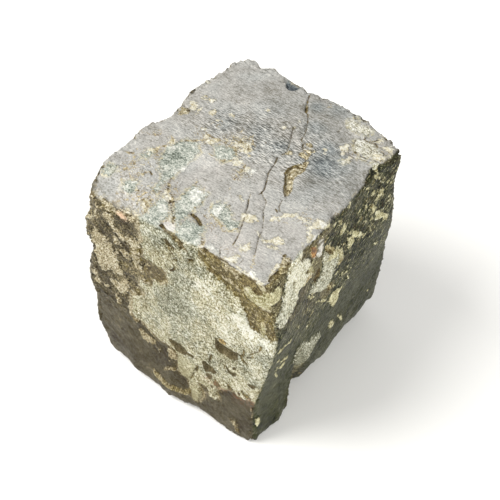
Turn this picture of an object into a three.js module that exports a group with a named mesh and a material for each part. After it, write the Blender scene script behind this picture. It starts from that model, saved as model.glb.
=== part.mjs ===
// Rough pyrite cube: one natural crystal block, slightly longer in one
// direction than the others, with worn rims, a broken flat across the right
// rear corner, a foot under the front corner and a broken lower right rim.
// Millimetres, +Z up. The origin is on the resting plane, under the middle of
// the block's box. -Y is the front left face, +X the front right face.

import * as THREE from 'three';

// ---------------------------------------------------------------- dimensions

const EDGE_X = 50;            // nominal crystal edge, left to right
const EDGE_Y = 56;            // nominal crystal edge, front to back
const TOP_Z = 60;             // nominal top face above the crystal's datum
const BASE_Z = -1.5;          // resting plane below the crystal's datum
const BASE_MID = [1.5, -3.0]; // middle of the flat that it rests on
const BASE_HALF = [22.5, 25.0]; // half sizes at which the underside lifts off
const BASE_LIFT = 0.7;        // how far the worn underside lifts at its rim
const CELLS = [22, 24, 26];   // facets along X, Y and Z
const CORE_INSET = 11;        // depth of the core that the facets fan out from
const ORIGIN_SHIFT = [-0.486, 0.382, 1.5]; // moves the datum to the origin

// Rim radii, as the width over which two faces blend.
const RIM_LEFT_FRONT = 3.0, RIM_LEFT_FRONT_TOP = 6.0, RIM_LEFT_BACK = 5.0;
const RIM_RIGHT_FRONT = 1.6, RIM_RIGHT_BACK = 3.2;
const RIM_TOP = 2.4, RIM_BASE = 3.0;

// How far each face stands out from the nominal crystal along its rims:
// pairs of (place along the rim, outward offset).
const LEFT_AT_TOP = [[-28, 1.6], [-24.8, 0.7], [-21.3, 1.9], [-17.5, 1.9], [-13.7, 1.2], [-10.7, 1.6], [-7, 1.9], [-3.6, 1.2], [-0.7, -0.9], [2.7, -0.7], [6.8, 0.5], [11.2, 1.7], [16.4, 1.1], [22.2, 0.0], [28.3, 0.1]];
const LEFT_AT_FRONT = [[-1.5, -2.4], [4.2, 0.0], [8.7, 1.9], [13.6, 1.7], [18.8, 2.1], [24.1, 3.3], [29.8, 2.8], [35.5, 1.3], [40.2, 2.9], [45.5, 2.3], [49.4, 0.8], [55.1, 1.3], [59.2, 1.4]];
const BACK_AT_TOP = [[-24, 2.1], [-20.5, 2.4], [-18.2, 0.9], [-15.7, 3.1], [-12.8, 2.4], [-9.4, 1.5], [-5.8, 1.0], [-3.6, 0.5], [0.1, 1.5], [4.1, 2.0], [8.5, 2.0], [12.8, 1.4], [15.8, 0.2], [20, -0.6], [23.1, -0.8], [26, -1.3]];
const BACK_AT_RIGHT = [[0, -0.4], [8.8, -0.4], [19.2, 0.1], [27.5, -1.0], [35.5, -1.3], [42.3, -1.9], [50.6, -2.9], [55.1, -1.4], [60, -1.3]];
const RIGHT_AT_TOP = [[-28, 0.9], [-19.8, -0.2], [-14.5, -0.3], [-9.5, 0.1], [-5.7, 0.1], [-1.5, -0.2], [1.9, 0.2], [6.3, -0.5], [11.7, -0.7], [16.6, -0.9], [22.6, 0.3], [28, 0.5]];
const RIGHT_AT_FRONT = [[-1.5, -0.6], [1, -0.4], [16, -0.4], [26.3, 1.5], [35.7, 3.0], [45, 4.2], [52, 2.6], [59, 0.9]];
const RIGHT_SWELL = 1.3;      // swell of the right face at half height
const TOP_AT_FRONT = [[-25, -2.6], [-20, -2.3], [-14.5, -2.0], [-9, -1.0], [0, -0.2], [8, 0.2], [26, 0.2]];
const FRONT_AT_BASE = [[-25, 0.2], [-18, 0.9], [-12, 2.2], [-8, 2.1], [-4, 1.9], [0, 2.9], [4, 2.3], [8, 1.5], [14, 1.4], [20, 0.7], [24, 0.1]];
const FOOT = [[-29, 0.2], [-26.2, 0.4], [-22, 0.6], [-18.8, 1.4], [-15.5, 0.3], [-13.5, 0.9]]; // foot under the front corner
const LOWER_BREAK = [[-15, -1.6], [-13, -3.6], [-11.2, -4.2], [-8.5, -1.8], [-5.5, 0.9], [-1.9, 0.8], [3.2, 1.7], [6.6, 1.0], [12.7, 0.6], [18.8, 1.3], [23.4, 0.3], [26, 1.4]]; // broken lower right rim

// ------------------------------------------------------------------- helpers

const HX = EDGE_X / 2, HY = EDGE_Y / 2;

function along(table, u) {
  if (u <= table[0][0]) return table[0][1];
  for (let i = 1; i < table.length; i++) {
    if (u <= table[i][0]) {
      const [a, va] = table[i - 1], [b, vb] = table[i];
      return va + (vb - va) * (u - a) / (b - a);
    }
  }
  return table[table.length - 1][1];
}

// 0 at a, 1 at b, smooth between
function ease(a, b, x) {
  const t = Math.min(1, Math.max(0, (x - a) / (b - a)));
  return t * t * (3 - 2 * t);
}

// the larger of two, with a round of width k where they meet
function meet(a, b, k) {
  const h = Math.max(k - Math.abs(a - b), 0) / k;
  return Math.max(a, b) + h * h * k * 0.25;
}

// gentle swell of a face, about -1 to 1
function swell(u, v, s) {
  return 0.50 * Math.sin(0.101 * u + 0.073 * v + 1.3 * s)
    + 0.32 * Math.sin(-0.087 * u + 0.167 * v + 2.1 * s + 0.7)
    + 0.24 * Math.sin(0.231 * u + 0.058 * v + 0.9 * s + 2.0)
    + 0.16 * Math.sin(0.142 * u - 0.303 * v + 3.3 * s);
}

// -------------------------------------------------------------- face heights

function rightFace(y, z) {
  const wt = ease(14, 0, TOP_Z - z), wf = ease(20, 0, y + HY);
  const middle = RIGHT_SWELL * Math.exp(-(((z - 36) / 17) ** 2)) + 0.35 * swell(y, z, 1);
  const foot = along(FOOT, y) * Math.exp(-(((z - BASE_Z) / 8) ** 2)) * ease(-12.8, -14.5, y);
  return middle * (1 - wt) * (1 - wf) + along(RIGHT_AT_TOP, y) * wt * (1 - wf) + along(RIGHT_AT_FRONT, z) * wf + foot;
}

function leftFace(y, z) {
  const wt = ease(12, 0, TOP_Z - z), wf = ease(14, 0, y + HY);
  return (0.2 + 0.8 * swell(y, z, 2)) * (1 - wt) * (1 - wf)
    + along(LEFT_AT_TOP, y) * wt * (1 - 0.5 * wf) + along(LEFT_AT_FRONT, z) * wf * (1 - 0.5 * wt);
}

function backFace(x, z) {
  const wt = ease(12, 0, TOP_Z - z), wr = ease(16, 0, HX - x);
  return (-0.2 + 0.8 * swell(x, z, 3)) * (1 - wt) * (1 - wr)
    + along(BACK_AT_TOP, x) * wt * (1 - 0.5 * wr) + along(BACK_AT_RIGHT, z) * wr * (1 - 0.5 * wt);
}

function frontFace(x, z) {
  const wb = ease(22, 0, z - BASE_Z);
  return 0.35 * swell(x, z, 4) * (1 - wb) + along(FRONT_AT_BASE, x) * wb;
}

function topFace(x, y) {
  const wf = ease(9, 0, y + HY);
  return 0.22 * swell(x, y, 5) * (1 - wf) + along(TOP_AT_FRONT, x) * wf;
}

function baseFace(x, y) {
  const u = x - BASE_MID[0], v = y - BASE_MID[1];
  const rho = ((Math.abs(u) / BASE_HALF[0]) ** 4 + (Math.abs(v) / BASE_HALF[1]) ** 4) ** 0.25
    + 0.05 * Math.sin(3 * Math.atan2(v, u) + 0.8);
  return BASE_LIFT * ease(0.84, 1.12, rho);
}

// ------------------------------------------------------------ the whole block

// negative inside the block, positive outside
function block(x, y, z) {
  const rightward = ease(-8, 8, x), backward = ease(-8, 8, y);
  const rimSide = (1 - rightward) * ((1 - backward) * (RIM_LEFT_FRONT + (RIM_LEFT_FRONT_TOP - RIM_LEFT_FRONT) * ease(44, 60, z)) + backward * RIM_LEFT_BACK)
    + rightward * ((1 - backward) * RIM_RIGHT_FRONT + backward * RIM_RIGHT_BACK);
  let d = meet(
    Math.max(x - HX - rightFace(y, z), -x - HX - leftFace(y, z)),
    Math.max(y - HY - backFace(x, z), -y - HY - frontFace(x, z)), rimSide);

  // the top rim, rounder at the left front and crisper at the right front
  const rimTop = RIM_TOP + 0.5 * Math.sin(0.31 * x + 0.22 * y)
    + 2.2 * ease(-2, -16, x) * ease(-14, -24, y) - 1.0 * ease(0, 8, x) * ease(-14, -24, y);
  d = meet(d, z - TOP_Z - topFace(x, y), rimTop);

  // broken flat across the right rear corner
  d = meet(d, 0.34 * (x - 13.4) + 0.94 * (y - 29.9) - 0.07 * (TOP_Z - z), 1.2);

  // underside and its rim
  const rimBase = RIM_BASE + 0.8 * Math.sin(0.27 * x - 0.19 * y) - 1.8 * ease(12, 22, x) * ease(-12, -15, y);
  d = meet(d, BASE_Z + baseFace(x, y) - z, rimBase);

  // broken lower rims: right, left and back
  const behindFoot = ease(-15.8, -12.8, y);
  if (behindFoot > 0) {
    d = meet(d, 0.93 * (x - 20.9) + 0.367 * (BASE_Z - z) - along(LOWER_BREAK, y) - 6 * (1 - behindFoot), 1.0);
  }
  d = meet(d, -0.86 * (x + 20.2) + 0.51 * (BASE_Z - z), 1.5);
  d = meet(d, 0.80 * (y - 23.5) + 0.60 * (BASE_Z - z), 2.0);
  return d;
}

// ------------------------------------------------------------------ the facets

// A box grid with shared rim points, each point pushed out from a core box to
// the block's surface.
function blockGeometry() {
  const [nx, ny, nz] = CELLS;
  const lo = [-HX, -HY, BASE_Z], hi = [HX, HY, TOP_Z];
  const index = new Map(), points = [], triangles = [];

  function vertex(g) {
    const key = g.join(',');
    if (index.has(key)) return index.get(key);
    const from = [], dir = [];
    let length = 0;
    for (let a = 0; a < 3; a++) {
      const p = lo[a] + (hi[a] - lo[a]) * g[a] / CELLS[a];
      from[a] = Math.min(hi[a] - CORE_INSET, Math.max(lo[a] + CORE_INSET, p));
      dir[a] = p - from[a];
      length += dir[a] ** 2;
    }
    length = Math.sqrt(length);
    let near = 0, far = CORE_INSET * 1.9;
    const at = (t) => from.map((f, a) => f + dir[a] / length * t);
    for (let i = 0; i < 44; i++) {
      const mid = (near + far) / 2;
      if (block(...at(mid)) < 0) near = mid; else far = mid;
    }
    const p = at((near + far) / 2);
    if (Math.abs(p[2] - BASE_Z) < 1e-5) p[2] = BASE_Z;
    points.push(p[0] + ORIGIN_SHIFT[0], p[1] + ORIGIN_SHIFT[1], p[2] + ORIGIN_SHIFT[2]);
    index.set(key, points.length / 3 - 1);
    return points.length / 3 - 1;
  }

  for (let axis = 0; axis < 3; axis++) {
    const [a, b] = [0, 1, 2].filter((c) => c !== axis);
    for (const side of [0, 1]) {
      const flip = (side === 0) !== (axis === 1);
      for (let i = 0; i < CELLS[a]; i++) {
        for (let j = 0; j < CELLS[b]; j++) {
          const q = [[i, j], [i + 1, j], [i + 1, j + 1], [i, j + 1]].map(([u, v]) => {
            const g = [0, 0, 0];
            g[a] = u; g[b] = v; g[axis] = side * CELLS[axis];
            return vertex(g);
          });
          if (flip) q.reverse();
          triangles.push(q[0], q[1], q[2], q[0], q[2], q[3]);
        }
      }
    }
  }

  const geometry = new THREE.BufferGeometry();
  geometry.setAttribute('position', new THREE.Float32BufferAttribute(points, 3));
  geometry.setIndex(triangles);
  geometry.computeVertexNormals();
  return geometry;
}

// ------------------------------------------------------------------- the piece

const pyrite = new THREE.MeshStandardMaterial({ color: 0x8d887c, roughness: 0.48, metalness: 0.65 });
pyrite.name = 'tarnished_pyrite';

const cube = new THREE.Mesh(blockGeometry(), pyrite);
cube.name = 'pyrite_cube';

const group = new THREE.Group();
group.add(cube);

export default group;
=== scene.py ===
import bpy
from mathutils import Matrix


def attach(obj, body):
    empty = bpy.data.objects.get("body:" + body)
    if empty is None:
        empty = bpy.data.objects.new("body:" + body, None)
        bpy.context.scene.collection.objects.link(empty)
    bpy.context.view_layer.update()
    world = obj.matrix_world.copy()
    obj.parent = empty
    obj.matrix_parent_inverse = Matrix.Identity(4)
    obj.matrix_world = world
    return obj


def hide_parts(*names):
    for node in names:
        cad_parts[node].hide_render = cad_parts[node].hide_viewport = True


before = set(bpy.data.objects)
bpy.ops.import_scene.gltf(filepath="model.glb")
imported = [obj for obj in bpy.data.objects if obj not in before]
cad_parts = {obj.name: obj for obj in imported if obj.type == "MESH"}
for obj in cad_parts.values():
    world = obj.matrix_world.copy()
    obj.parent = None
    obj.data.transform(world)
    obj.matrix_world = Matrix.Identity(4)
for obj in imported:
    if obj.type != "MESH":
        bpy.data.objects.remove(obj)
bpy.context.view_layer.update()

import math
import bpy
import numpy as np
from mathutils import Matrix, Vector

# All work on the block is in millimetres in the block's own axes: x to the right face, y to the
# back face, z up. SHIFT takes it to the row frame.
HX, HY, ZT, ZB = 25.0, 28.0, 60.0, -1.5
BX, BY = 1.5, -3.0
SHIFT = np.array([-0.486, 0.382, 1.5])
EYE = np.array([97.178, -138.439, 223.260])      # camera, block axes
VIEW = np.array([[0.796998, 0.602878, 0.036493],
                 [0.474274, -0.587285, -0.655866],
                 [-0.373976, 0.540032, -0.753994]])

# ------------------------------------------------------------------ noise

def hash01(i, j, k, seed):
    h = (i.astype(np.int64) * 374761393 + j.astype(np.int64) * 668265263
         + k.astype(np.int64) * 1440662683 + seed * 974634777) & 0xFFFFFFFF
    h = ((h ^ (h >> 13)) * 1274126177) & 0xFFFFFFFF
    h = ((h ^ (h >> 16)) * 2246822519) & 0xFFFFFFFF
    return h ^ (h >> 15)

GRAD = np.array([[1, 1, 0], [-1, 1, 0], [1, -1, 0], [-1, -1, 0], [1, 0, 1], [-1, 0, 1],
                 [1, 0, -1], [-1, 0, -1], [0, 1, 1], [0, -1, 1], [0, 1, -1], [0, -1, -1],
                 [1, 1, 0], [-1, 1, 0], [0, -1, 1], [0, -1, -1]], np.float32)


def perlin(p, seed):
    """Gradient noise, about -1..1."""
    q = np.floor(p).astype(np.int64)
    r = (p - q).astype(np.float32)
    w = r * r * r * (r * (r * 6 - 15) + 10)
    out = np.zeros(len(p), np.float32)
    for a in (0, 1):
        for b in (0, 1):
            for c in (0, 1):
                g = GRAD[hash01(q[:, 0] + a, q[:, 1] + b, q[:, 2] + c, seed) & 15]
                d = g[:, 0] * (r[:, 0] - a) + g[:, 1] * (r[:, 1] - b) + g[:, 2] * (r[:, 2] - c)
                out += d * (w[:, 0] if a else 1 - w[:, 0]) * (w[:, 1] if b else 1 - w[:, 1]) * (w[:, 2] if c else 1 - w[:, 2])
    return out * 1.25


def fbm(p, size, seed, octaves=3, gain=0.5):
    """Sum of noises, the largest of the given size in millimetres."""
    size = np.asarray(size, float)
    out, amp, tot = 0, 1.0, 0.0
    for o in range(octaves):
        out = out + amp * perlin(p / size * 2.0 ** o + 17.3 * o, seed + o)
        tot += amp
        amp *= gain
    return out / tot


def ss(a, b, x):
    t = np.clip((x - a) / (b - a), 0, 1)
    return t * t * (3 - 2 * t)


def terrace(h, n, soft=0.25):
    """Rounds a field to steps with short ramps between them."""
    k = np.floor(h * n)
    return (k + ss(0.5 - soft, 0.5 + soft, h * n - k)) / n

# ------------------------------------------------------------------ the block, as the CAD has it
LEFT_TOP = [(-28, 1.6), (-24.8, 0.7), (-21.3, 1.9), (-17.5, 1.9), (-13.7, 1.2), (-10.7, 1.6), (-7, 1.9), (-3.6, 1.2), (-0.7, -0.9), (2.7, -0.7), (6.8, 0.5), (11.2, 1.7), (16.4, 1.1), (22.2, 0.0), (28.3, 0.1)]
LEFT_FRONT = [(-1.5, -2.4), (4.2, 0.0), (8.7, 1.9), (13.6, 1.7), (18.8, 2.1), (24.1, 3.3), (29.8, 2.8), (35.5, 1.3), (40.2, 2.9), (45.5, 2.3), (49.4, 0.8), (55.1, 1.3), (59.2, 1.4)]
BACK_TOP = [(-24, 2.1), (-20.5, 2.4), (-18.2, 0.9), (-15.7, 3.1), (-12.8, 2.4), (-9.4, 1.5), (-5.8, 1.0), (-3.6, 0.5), (0.1, 1.5), (4.1, 2.0), (8.5, 2.0), (12.8, 1.4), (15.8, 0.2), (20, -0.6), (23.1, -0.8), (26, -1.3)]
BACK_RIGHT = [(0, -0.4), (8.8, -0.4), (19.2, 0.1), (27.5, -1.0), (35.5, -1.3), (42.3, -1.9), (50.6, -2.9), (55.1, -1.4), (60, -1.3)]
RIGHT_TOP = [(-28, 0.9), (-19.8, -0.2), (-14.5, -0.3), (-9.5, 0.1), (-5.7, 0.1), (-1.5, -0.2), (1.9, 0.2), (6.3, -0.5), (11.7, -0.7), (16.6, -0.9), (22.6, 0.3), (28, 0.5)]
RIGHT_FRONT = [(-1.5, -0.6), (1, -0.4), (16, -0.4), (26.3, 1.5), (35.7, 3.0), (45, 4.2), (52, 2.6), (59, 0.9)]
TOP_FRONT = [(-25, -2.6), (-20, -2.3), (-14.5, -2.0), (-9, -1.0), (0, -0.2), (8, 0.2), (26, 0.2)]
FRONT_BASE = [(-25, 0.2), (-18, 0.9), (-12, 2.2), (-8, 2.1), (-4, 1.9), (0, 2.9), (4, 2.3), (8, 1.5), (14, 1.4), (20, 0.7), (24, 0.1)]
FOOT = [(-29, 0.2), (-26.2, 0.4), (-22, 0.6), (-18.8, 1.4), (-15.5, 0.3), (-13.5, 0.9)]
LOWER_BREAK = [(-15, -1.6), (-13, -3.6), (-11.2, -4.2), (-8.5, -1.8), (-5.5, 0.9), (-1.9, 0.8), (3.2, 1.7), (6.6, 1.0), (12.7, 0.6), (18.8, 1.3), (23.4, 0.3), (26, 1.4)]


def along(tab, u):
    a = np.array(tab, float)
    return np.interp(u, a[:, 0], a[:, 1])


def meet(a, b, k):
    h = np.maximum(k - np.abs(a - b), 0) / k
    return np.maximum(a, b) + h * h * k * 0.25


def swell(u, v, s):
    return (0.50 * np.sin(0.101 * u + 0.073 * v + 1.3 * s) + 0.32 * np.sin(-0.087 * u + 0.167 * v + 2.1 * s + 0.7)
            + 0.24 * np.sin(0.231 * u + 0.058 * v + 0.9 * s + 2.0) + 0.16 * np.sin(0.142 * u - 0.303 * v + 3.3 * s))


def block(p):
    """Below zero inside the block."""
    x, y, z = p[:, 0], p[:, 1], p[:, 2]
    wt, wf = ss(14, 0, ZT - z), ss(20, 0, y + HY)
    mid = 1.3 * np.exp(-((z - 36) / 17) ** 2) + 0.35 * swell(y, z, 1)
    rx = mid * (1 - wt) * (1 - wf) + along(RIGHT_TOP, y) * wt * (1 - wf) + along(RIGHT_FRONT, z) * wf
    rx = rx + along(FOOT, y) * np.exp(-((z - ZB) / 8) ** 2) * ss(-12.8, -14.5, y)
    wt, wf = ss(12, 0, ZT - z), ss(14, 0, y + HY)
    lx = (0.2 + 0.8 * swell(y, z, 2)) * (1 - wt) * (1 - wf) + along(LEFT_TOP, y) * wt * (1 - 0.5 * wf) + along(LEFT_FRONT, z) * wf * (1 - 0.5 * wt)
    wr = ss(16, 0, HX - x)
    by = (-0.2 + 0.8 * swell(x, z, 3)) * (1 - wt) * (1 - wr) + along(BACK_TOP, x) * wt * (1 - 0.5 * wr) + along(BACK_RIGHT, z) * wr * (1 - 0.5 * wt)
    wb = ss(22, 0, z - ZB)
    fy = 0.35 * swell(x, z, 4) * (1 - wb) + along(FRONT_BASE, x) * wb
    wf = ss(9, 0, y + HY)
    tz = 0.22 * swell(x, y, 5) * (1 - wf) + along(TOP_FRONT, x) * wf
    gxp, gxm, gyp, gym, gzp = x - HX - rx, -x - HX - lx, y - HY - by, -y - HY - fy, z - ZT - tz
    gzm = ZB + 0.7 * ss(0.84, 1.12, ((np.abs(x - BX) / 22.5) ** 4 + (np.abs(y - BY) / 25.0) ** 4) ** 0.25 + 0.05 * np.sin(3 * np.arctan2(y - BY, x - BX) + 0.8)) - z
    right, back = ss(-8, 8, x), ss(-8, 8, y)
    kv = (1 - right) * ((1 - back) * (3.0 + 3.0 * ss(44, 60, z)) + back * 5.0) + right * ((1 - back) * 1.6 + back * 3.2)
    c = meet(np.maximum(gxp, gxm), np.maximum(gyp, gym), kv)
    kt = 2.4 + 0.5 * np.sin(0.31 * x + 0.22 * y) + 2.2 * ss(-2, -16, x) * ss(-14, -24, y) - 1.0 * ss(0, 8, x) * ss(-14, -24, y)
    d = meet(c, gzp, kt)
    d = meet(d, 0.34 * (x - 13.4) + 0.94 * (y - 29.9) - 0.07 * (ZT - z), 1.2)
    kb = 3.0 + 0.8 * np.sin(0.27 * x - 0.19 * y) - 1.8 * ss(12, 22, x) * ss(-12, -15, y)
    d = meet(d, gzm, kb)
    lo = ss(-15.8, -12.8, y)
    cx = 0.93 * (x - 20.9) + 0.367 * (ZB - z) - along(LOWER_BREAK, y)
    d = meet(d, np.where(lo > 0, cx - 6 * (1 - lo), -9.0), 1.0)
    d = meet(d, -0.86 * (x + 20.2) + 0.51 * (ZB - z), 1.5)
    d = meet(d, 0.80 * (y - 23.5) + 0.60 * (ZB - z), 2.0)
    return d

# ------------------------------------------------------------------ outlines of the markings, millimetres
# top face, (x, y)
T_GREEN = [
    [(-15.5, -4), (-13, -3.5), (-10.5, -5), (-10, -8), (-10.2, -12), (-10, -15), (-10.2, -19), (-10, -21.5), (-11, -20.5), (-12, -17), (-13.5, -15), (-15.5, -13.5), (-16.5, -11), (-17.5, -8.5)],
    [(-9, -1), (-7, 0), (-4.5, 0.5), (-3, -2), (-4, -4), (-6, -4.5), (-8.5, -3)],
    [(-4.5, -14), (-1, -14.5), (-0.5, -17), (0, -20), (0, -26), (-2, -25.5), (-4, -24), (-5, -20), (-5, -16)],
    [(0, -22.6), (5, -22.8), (7, -27), (8.5, -31), (3, -31.5), (-8, -33), (-7.6, -27), (-7.5, -21), (-5.5, -22), (-3, -25), (-3.6, -26.4), (-2, -28.9), (1, -28.6)],
    [(2.4, -15), (4, -14.4), (6, -15.2), (7.6, -16.4), (10, -17.2), (11, -19), (9.4, -20), (7.4, -19), (5, -18.8), (3.4, -19), (2.6, -17.4)],
    [(-17, -21.3), (-15, -21), (-13.8, -23), (-14, -25), (-16.5, -25), (-17.4, -23)],
    [(-23.6, -20.6), (-22.2, -20.4), (-21, -22), (-21.4, -24), (-22.8, -24.2), (-23.8, -22.6)],
    [(-20, -11), (-18.6, -11.5), (-18.3, -14), (-19.5, -15.5), (-20.4, -13.5)],
]
# pale broken crust on the right rear corner
T_PALE = [
    [(14.9, 20.9), (15.2, 21.5), (16.3, 22.0), (18.2, 21.8), (20, 21.7), (22.2, 21.0), (23.3, 20.5), (24.1, 19.8), (24, 18.9), (22.5, 18.6), (21.4, 18.0), (19.8, 17.8), (18.2, 17.5), (17.4, 17.7), (16.1, 17.5), (15.7, 18.6), (15.5, 19.9)],
    [(9.9, 26.6), (10, 25), (10.5, 23.8), (11, 23.3), (13, 23.2), (15, 23.8), (16.4, 24.4), (16.9, 25.1), (16.5, 26.1), (15.2, 26.6), (14, 26.5), (12, 26.4)],
    [(10, 27.6), (11, 28.1), (12.2, 27.9), (12.2, 27), (10.6, 26.9)],
    [(18.4, 16.9), (20.2, 17.1), (20, 16.4), (18.6, 16.3)],
    [(22.1, 17.6), (23.4, 17.7), (24.9, 15.4), (26.1, 12.9), (25.7, 12.3), (24.4, 14.2), (22.9, 16.1)],
    [(24, 22), (24.8, 21.2), (25.5, 18.9), (24.9, 18.9), (24.1, 20.6)],
    [(16.3, 13.3), (17.4, 13.1), (17.2, 12.6), (16.4, 12.7)],
]
T_BARE = [[(-2.8, -26.4), (-1.6, -25.8), (0.6, -26.2), (1.2, -27.4), (0.4, -28.7), (-1.8, -28.6), (-2.9, -27.6)]]
T_CREAM = [
    [(21, 22.6), (21.6, 23.9), (22.8, 24.5), (23.9, 24.1), (24.3, 22.9), (23.8, 22.3), (22.6, 22.2)],
    [(20.2, 18.5), (21.4, 19.6), (23, 20.2), (24, 19.8), (23.8, 18.9), (22.6, 18.3), (21, 17.9)],
    [(8.8, -13.9), (9.8, -13.3), (11.6, -13.1), (12.4, -13.7), (11.8, -14.8), (10.8, -15.9), (9.8, -15.5), (9, -14.9)],
    [(17, -18.8), (17.2, -17.2), (18, -16.4), (18.2, -15.2), (19, -14.7), (19.8, -15.4), (20.8, -16.1), (19.4, -16.6), (18.2, -17), (17.6, -18.4)],
    [(13.2, -21.6), (14.4, -21.2), (15, -19.8), (15.7, -21), (15.9, -22.4), (14.6, -22.6), (13.4, -22.4)],
    [(14.6, -24), (15.6, -24.2), (16.2, -26), (15.2, -26.6), (14.3, -25.6)],
    [(-22, 4.6), (-21.6, 6), (-20.8, 7.1), (-20.2, 6), (-20.4, 4.6), (-21, 3.9)],
    [(-23, 6.2), (-22.6, 7.2), (-21.6, 7.5), (-21.6, 6.6), (-22.4, 6.2)],
    [(-22.2, 10), (-21.3, 11), (-20.6, 10.4), (-20.6, 9.4), (-21.6, 9.6)],
    [(-20, 10.6), (-19.4, 11.5), (-18.6, 11), (-18.6, 10.2), (-19.6, 9.6)],
    [(-19.9, 7.2), (-19.2, 6), (-18.6, 4.6), (-19.6, 4.7), (-20, 6)],
    [(-16.9, 8), (-16.2, 8.2), (-15.2, 6.6), (-16.2, 6), (-17.2, 6.8)],
    [(-14.9, 5.2), (-14.2, 6.2), (-13.3, 6.4), (-13.4, 5.8), (-14.4, 4.9)],
    [(-13.2, 9.4), (-12, 9.9), (-11.6, 9), (-12.6, 8.7)],
    [(-15, 1.6), (-14.2, 2), (-13.8, 1.1), (-14.6, 0.9)],
    [(-14, -28.6), (-9, -28), (-9, -29.6), (-14, -30)],
    [(1, 18.3), (1.7, 18), (1.6, 17), (1, 17)],
    [(1.2, 15.6), (1.9, 15.4), (1.7, 14.6), (1.2, 14.7)],
    [(-1, 14.6), (0, 14.2), (-0.2, 13.4), (-1, 13.6)],
    [(-24.9, 15.8), (-23.9, 15.7), (-24, 15.1), (-24.9, 15)],
    [(-7.6, 16.4), (-6.4, 16.4), (-6.6, 15.7), (-7.6, 15.7)],
    [(21.6, 19.5), (23.3, 20.0), (24, 19.5), (23.9, 18.9), (22.5, 18.6), (21.4, 18.8)],
    [(13, 16.2), (13.2, 17.2), (13.8, 18.2), (14.4, 18.6), (15.4, 18.3), (15.9, 17.2), (15.6, 16.4), (14.4, 16)],
    [(21.1, 23.1), (21.5, 23.8), (22.6, 24.5), (23.7, 24.4), (24.1, 23), (22.9, 22.5), (21.6, 22.3)],
    [(19, 24.4), (19.5, 25.6), (20.4, 25.5), (20.4, 24.6), (19.8, 23.1), (18.8, 23.3)],
    [(16.6, 15.4), (17.4, 15.6), (17.6, 13.2), (16.9, 12.6)],
    [(14.4, 15.6), (15.4, 15.8), (15.2, 14.6), (14.6, 14.6)],
    [(22.6, -9.6), (24.8, -9.2), (25.6, -12.4), (23.8, -12.8)],
    [(22, -5.2), (25.2, -5), (25.4, -7.5), (22.4, -7.4)],
    [(-3, -2.2), (-1, -1.4), (-0.6, -3), (-2, -4)],
]
T_CREAM_LINES = [
    ([(14.6, -11.4), (15, -11), (16.5, -8.6), (18, -7.4), (20, -7.1), (22, -7.8), (24, -7), (25.4, -7)], 0.55),
    ([(18.2, -18.4), (19.4, -18), (21, -17.7), (22.7, -18.4)], 0.2),
    ([(14, -16.4), (16.4, -17.4), (17.6, -17.8)], 0.14),
    ([(22.4, -8.4), (23.6, -11), (24.2, -13.5)], 0.25),
    ([(5.2, -10.4), (6.6, -11.6)], 0.2),
]
T_GOLD = [
    [(6.4, 12.4), (7.6, 13.2), (8.8, 12.6), (8.6, 11.9), (7.2, 11.7)],
    [(8, 11), (9.6, 11), (9.7, 9.8), (8.4, 9.9)],
    [(7.3, 9.6), (9.8, 9.6), (10, 8.4), (8.6, 8), (7.5, 8.4)],
    [(9, 5), (10, 7.6), (10.6, 8), (11, 6.2), (11.5, 5), (11.3, 3), (11, 1.5), (12, 0), (12.9, -1.5), (13.1, -4.2), (11.5, -3), (10, -0.5), (8.6, 2), (8.3, 4)],
    [(4, 6), (5.4, 8.2), (6.8, 8), (6.6, 7.2), (4.6, 6)],
    [(23, -18.2), (24.4, -18), (25.4, -20.6), (24.4, -21.6), (23.4, -20)],
    [(-23.8, 4.1), (-23, 4.6), (-21.2, 4.1), (-20.8, 3), (-21.6, 2), (-22.4, 1.2), (-22.8, 1.8), (-23.6, 3)],
    [(-7.6, 3.4), (-5, 3.6), (-5.2, 2.7), (-7, 2.5)],
]
T_WHITE = [
    [(-10.2, -9.2), (-9.3, -8.8), (-8.9, -12.6), (-9.8, -13.6), (-10.3, -12)],
    [(-4.2, -14), (-1.4, -14.4), (-0.9, -17.4), (-2.2, -18.4), (-3.6, -17), (-4.2, -16)],
    [(-6.2, -23.2), (-4.6, -23.4), (-4.4, -24.6), (-5.8, -24.8)],
    [(3, -15.6), (3.8, -15.4), (4.6, -16.6), (5.4, -18.4), (4.2, -18.6), (3.4, -17.2)],
    [(2, -1.8), (3.4, -2), (2.8, -4), (1.8, -3.4)],
    [(16.4, 13.2), (17, 13.3), (17, 12.7), (16.4, 12.7)],
    [(23.6, -5.6), (24.8, -5.4), (24.8, -6.8), (23.8, -6.8)],
    [(8.6, -25.4), (11, -25.6), (12.4, -26.8), (10, -27), (8.6, -26.4)],
    [(19.9, -26), (21, -26), (21.3, -26.9), (20.2, -27)],
    [(22.2, -25.4), (23.4, -25.2), (23.4, -26.6)],
]
T_LIPDARK = [([(8.4, -27.2), (10, -27.5), (12, -27.9), (13.2, -27.8)], 0.34), ([(24.3, -22.6), (24.1, -24.4), (24.3, -25.8)], 0.26), ([(19.8, -28.2), (22, -28.3), (23.4, -28.8)], 0.24), ([(26, -26.8), (25.2, -28.2)], 0.26)]
T_LIPGOLD = [([(22.8, -18.3), (23.7, -20.1), (24.5, -21.6)], 0.40), ([(25, -22.2), (25.3, -24.4), (25.2, -27.2)], 0.34), ([(26.6, -27.6), (26.2, -29)], 0.2)]
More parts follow.
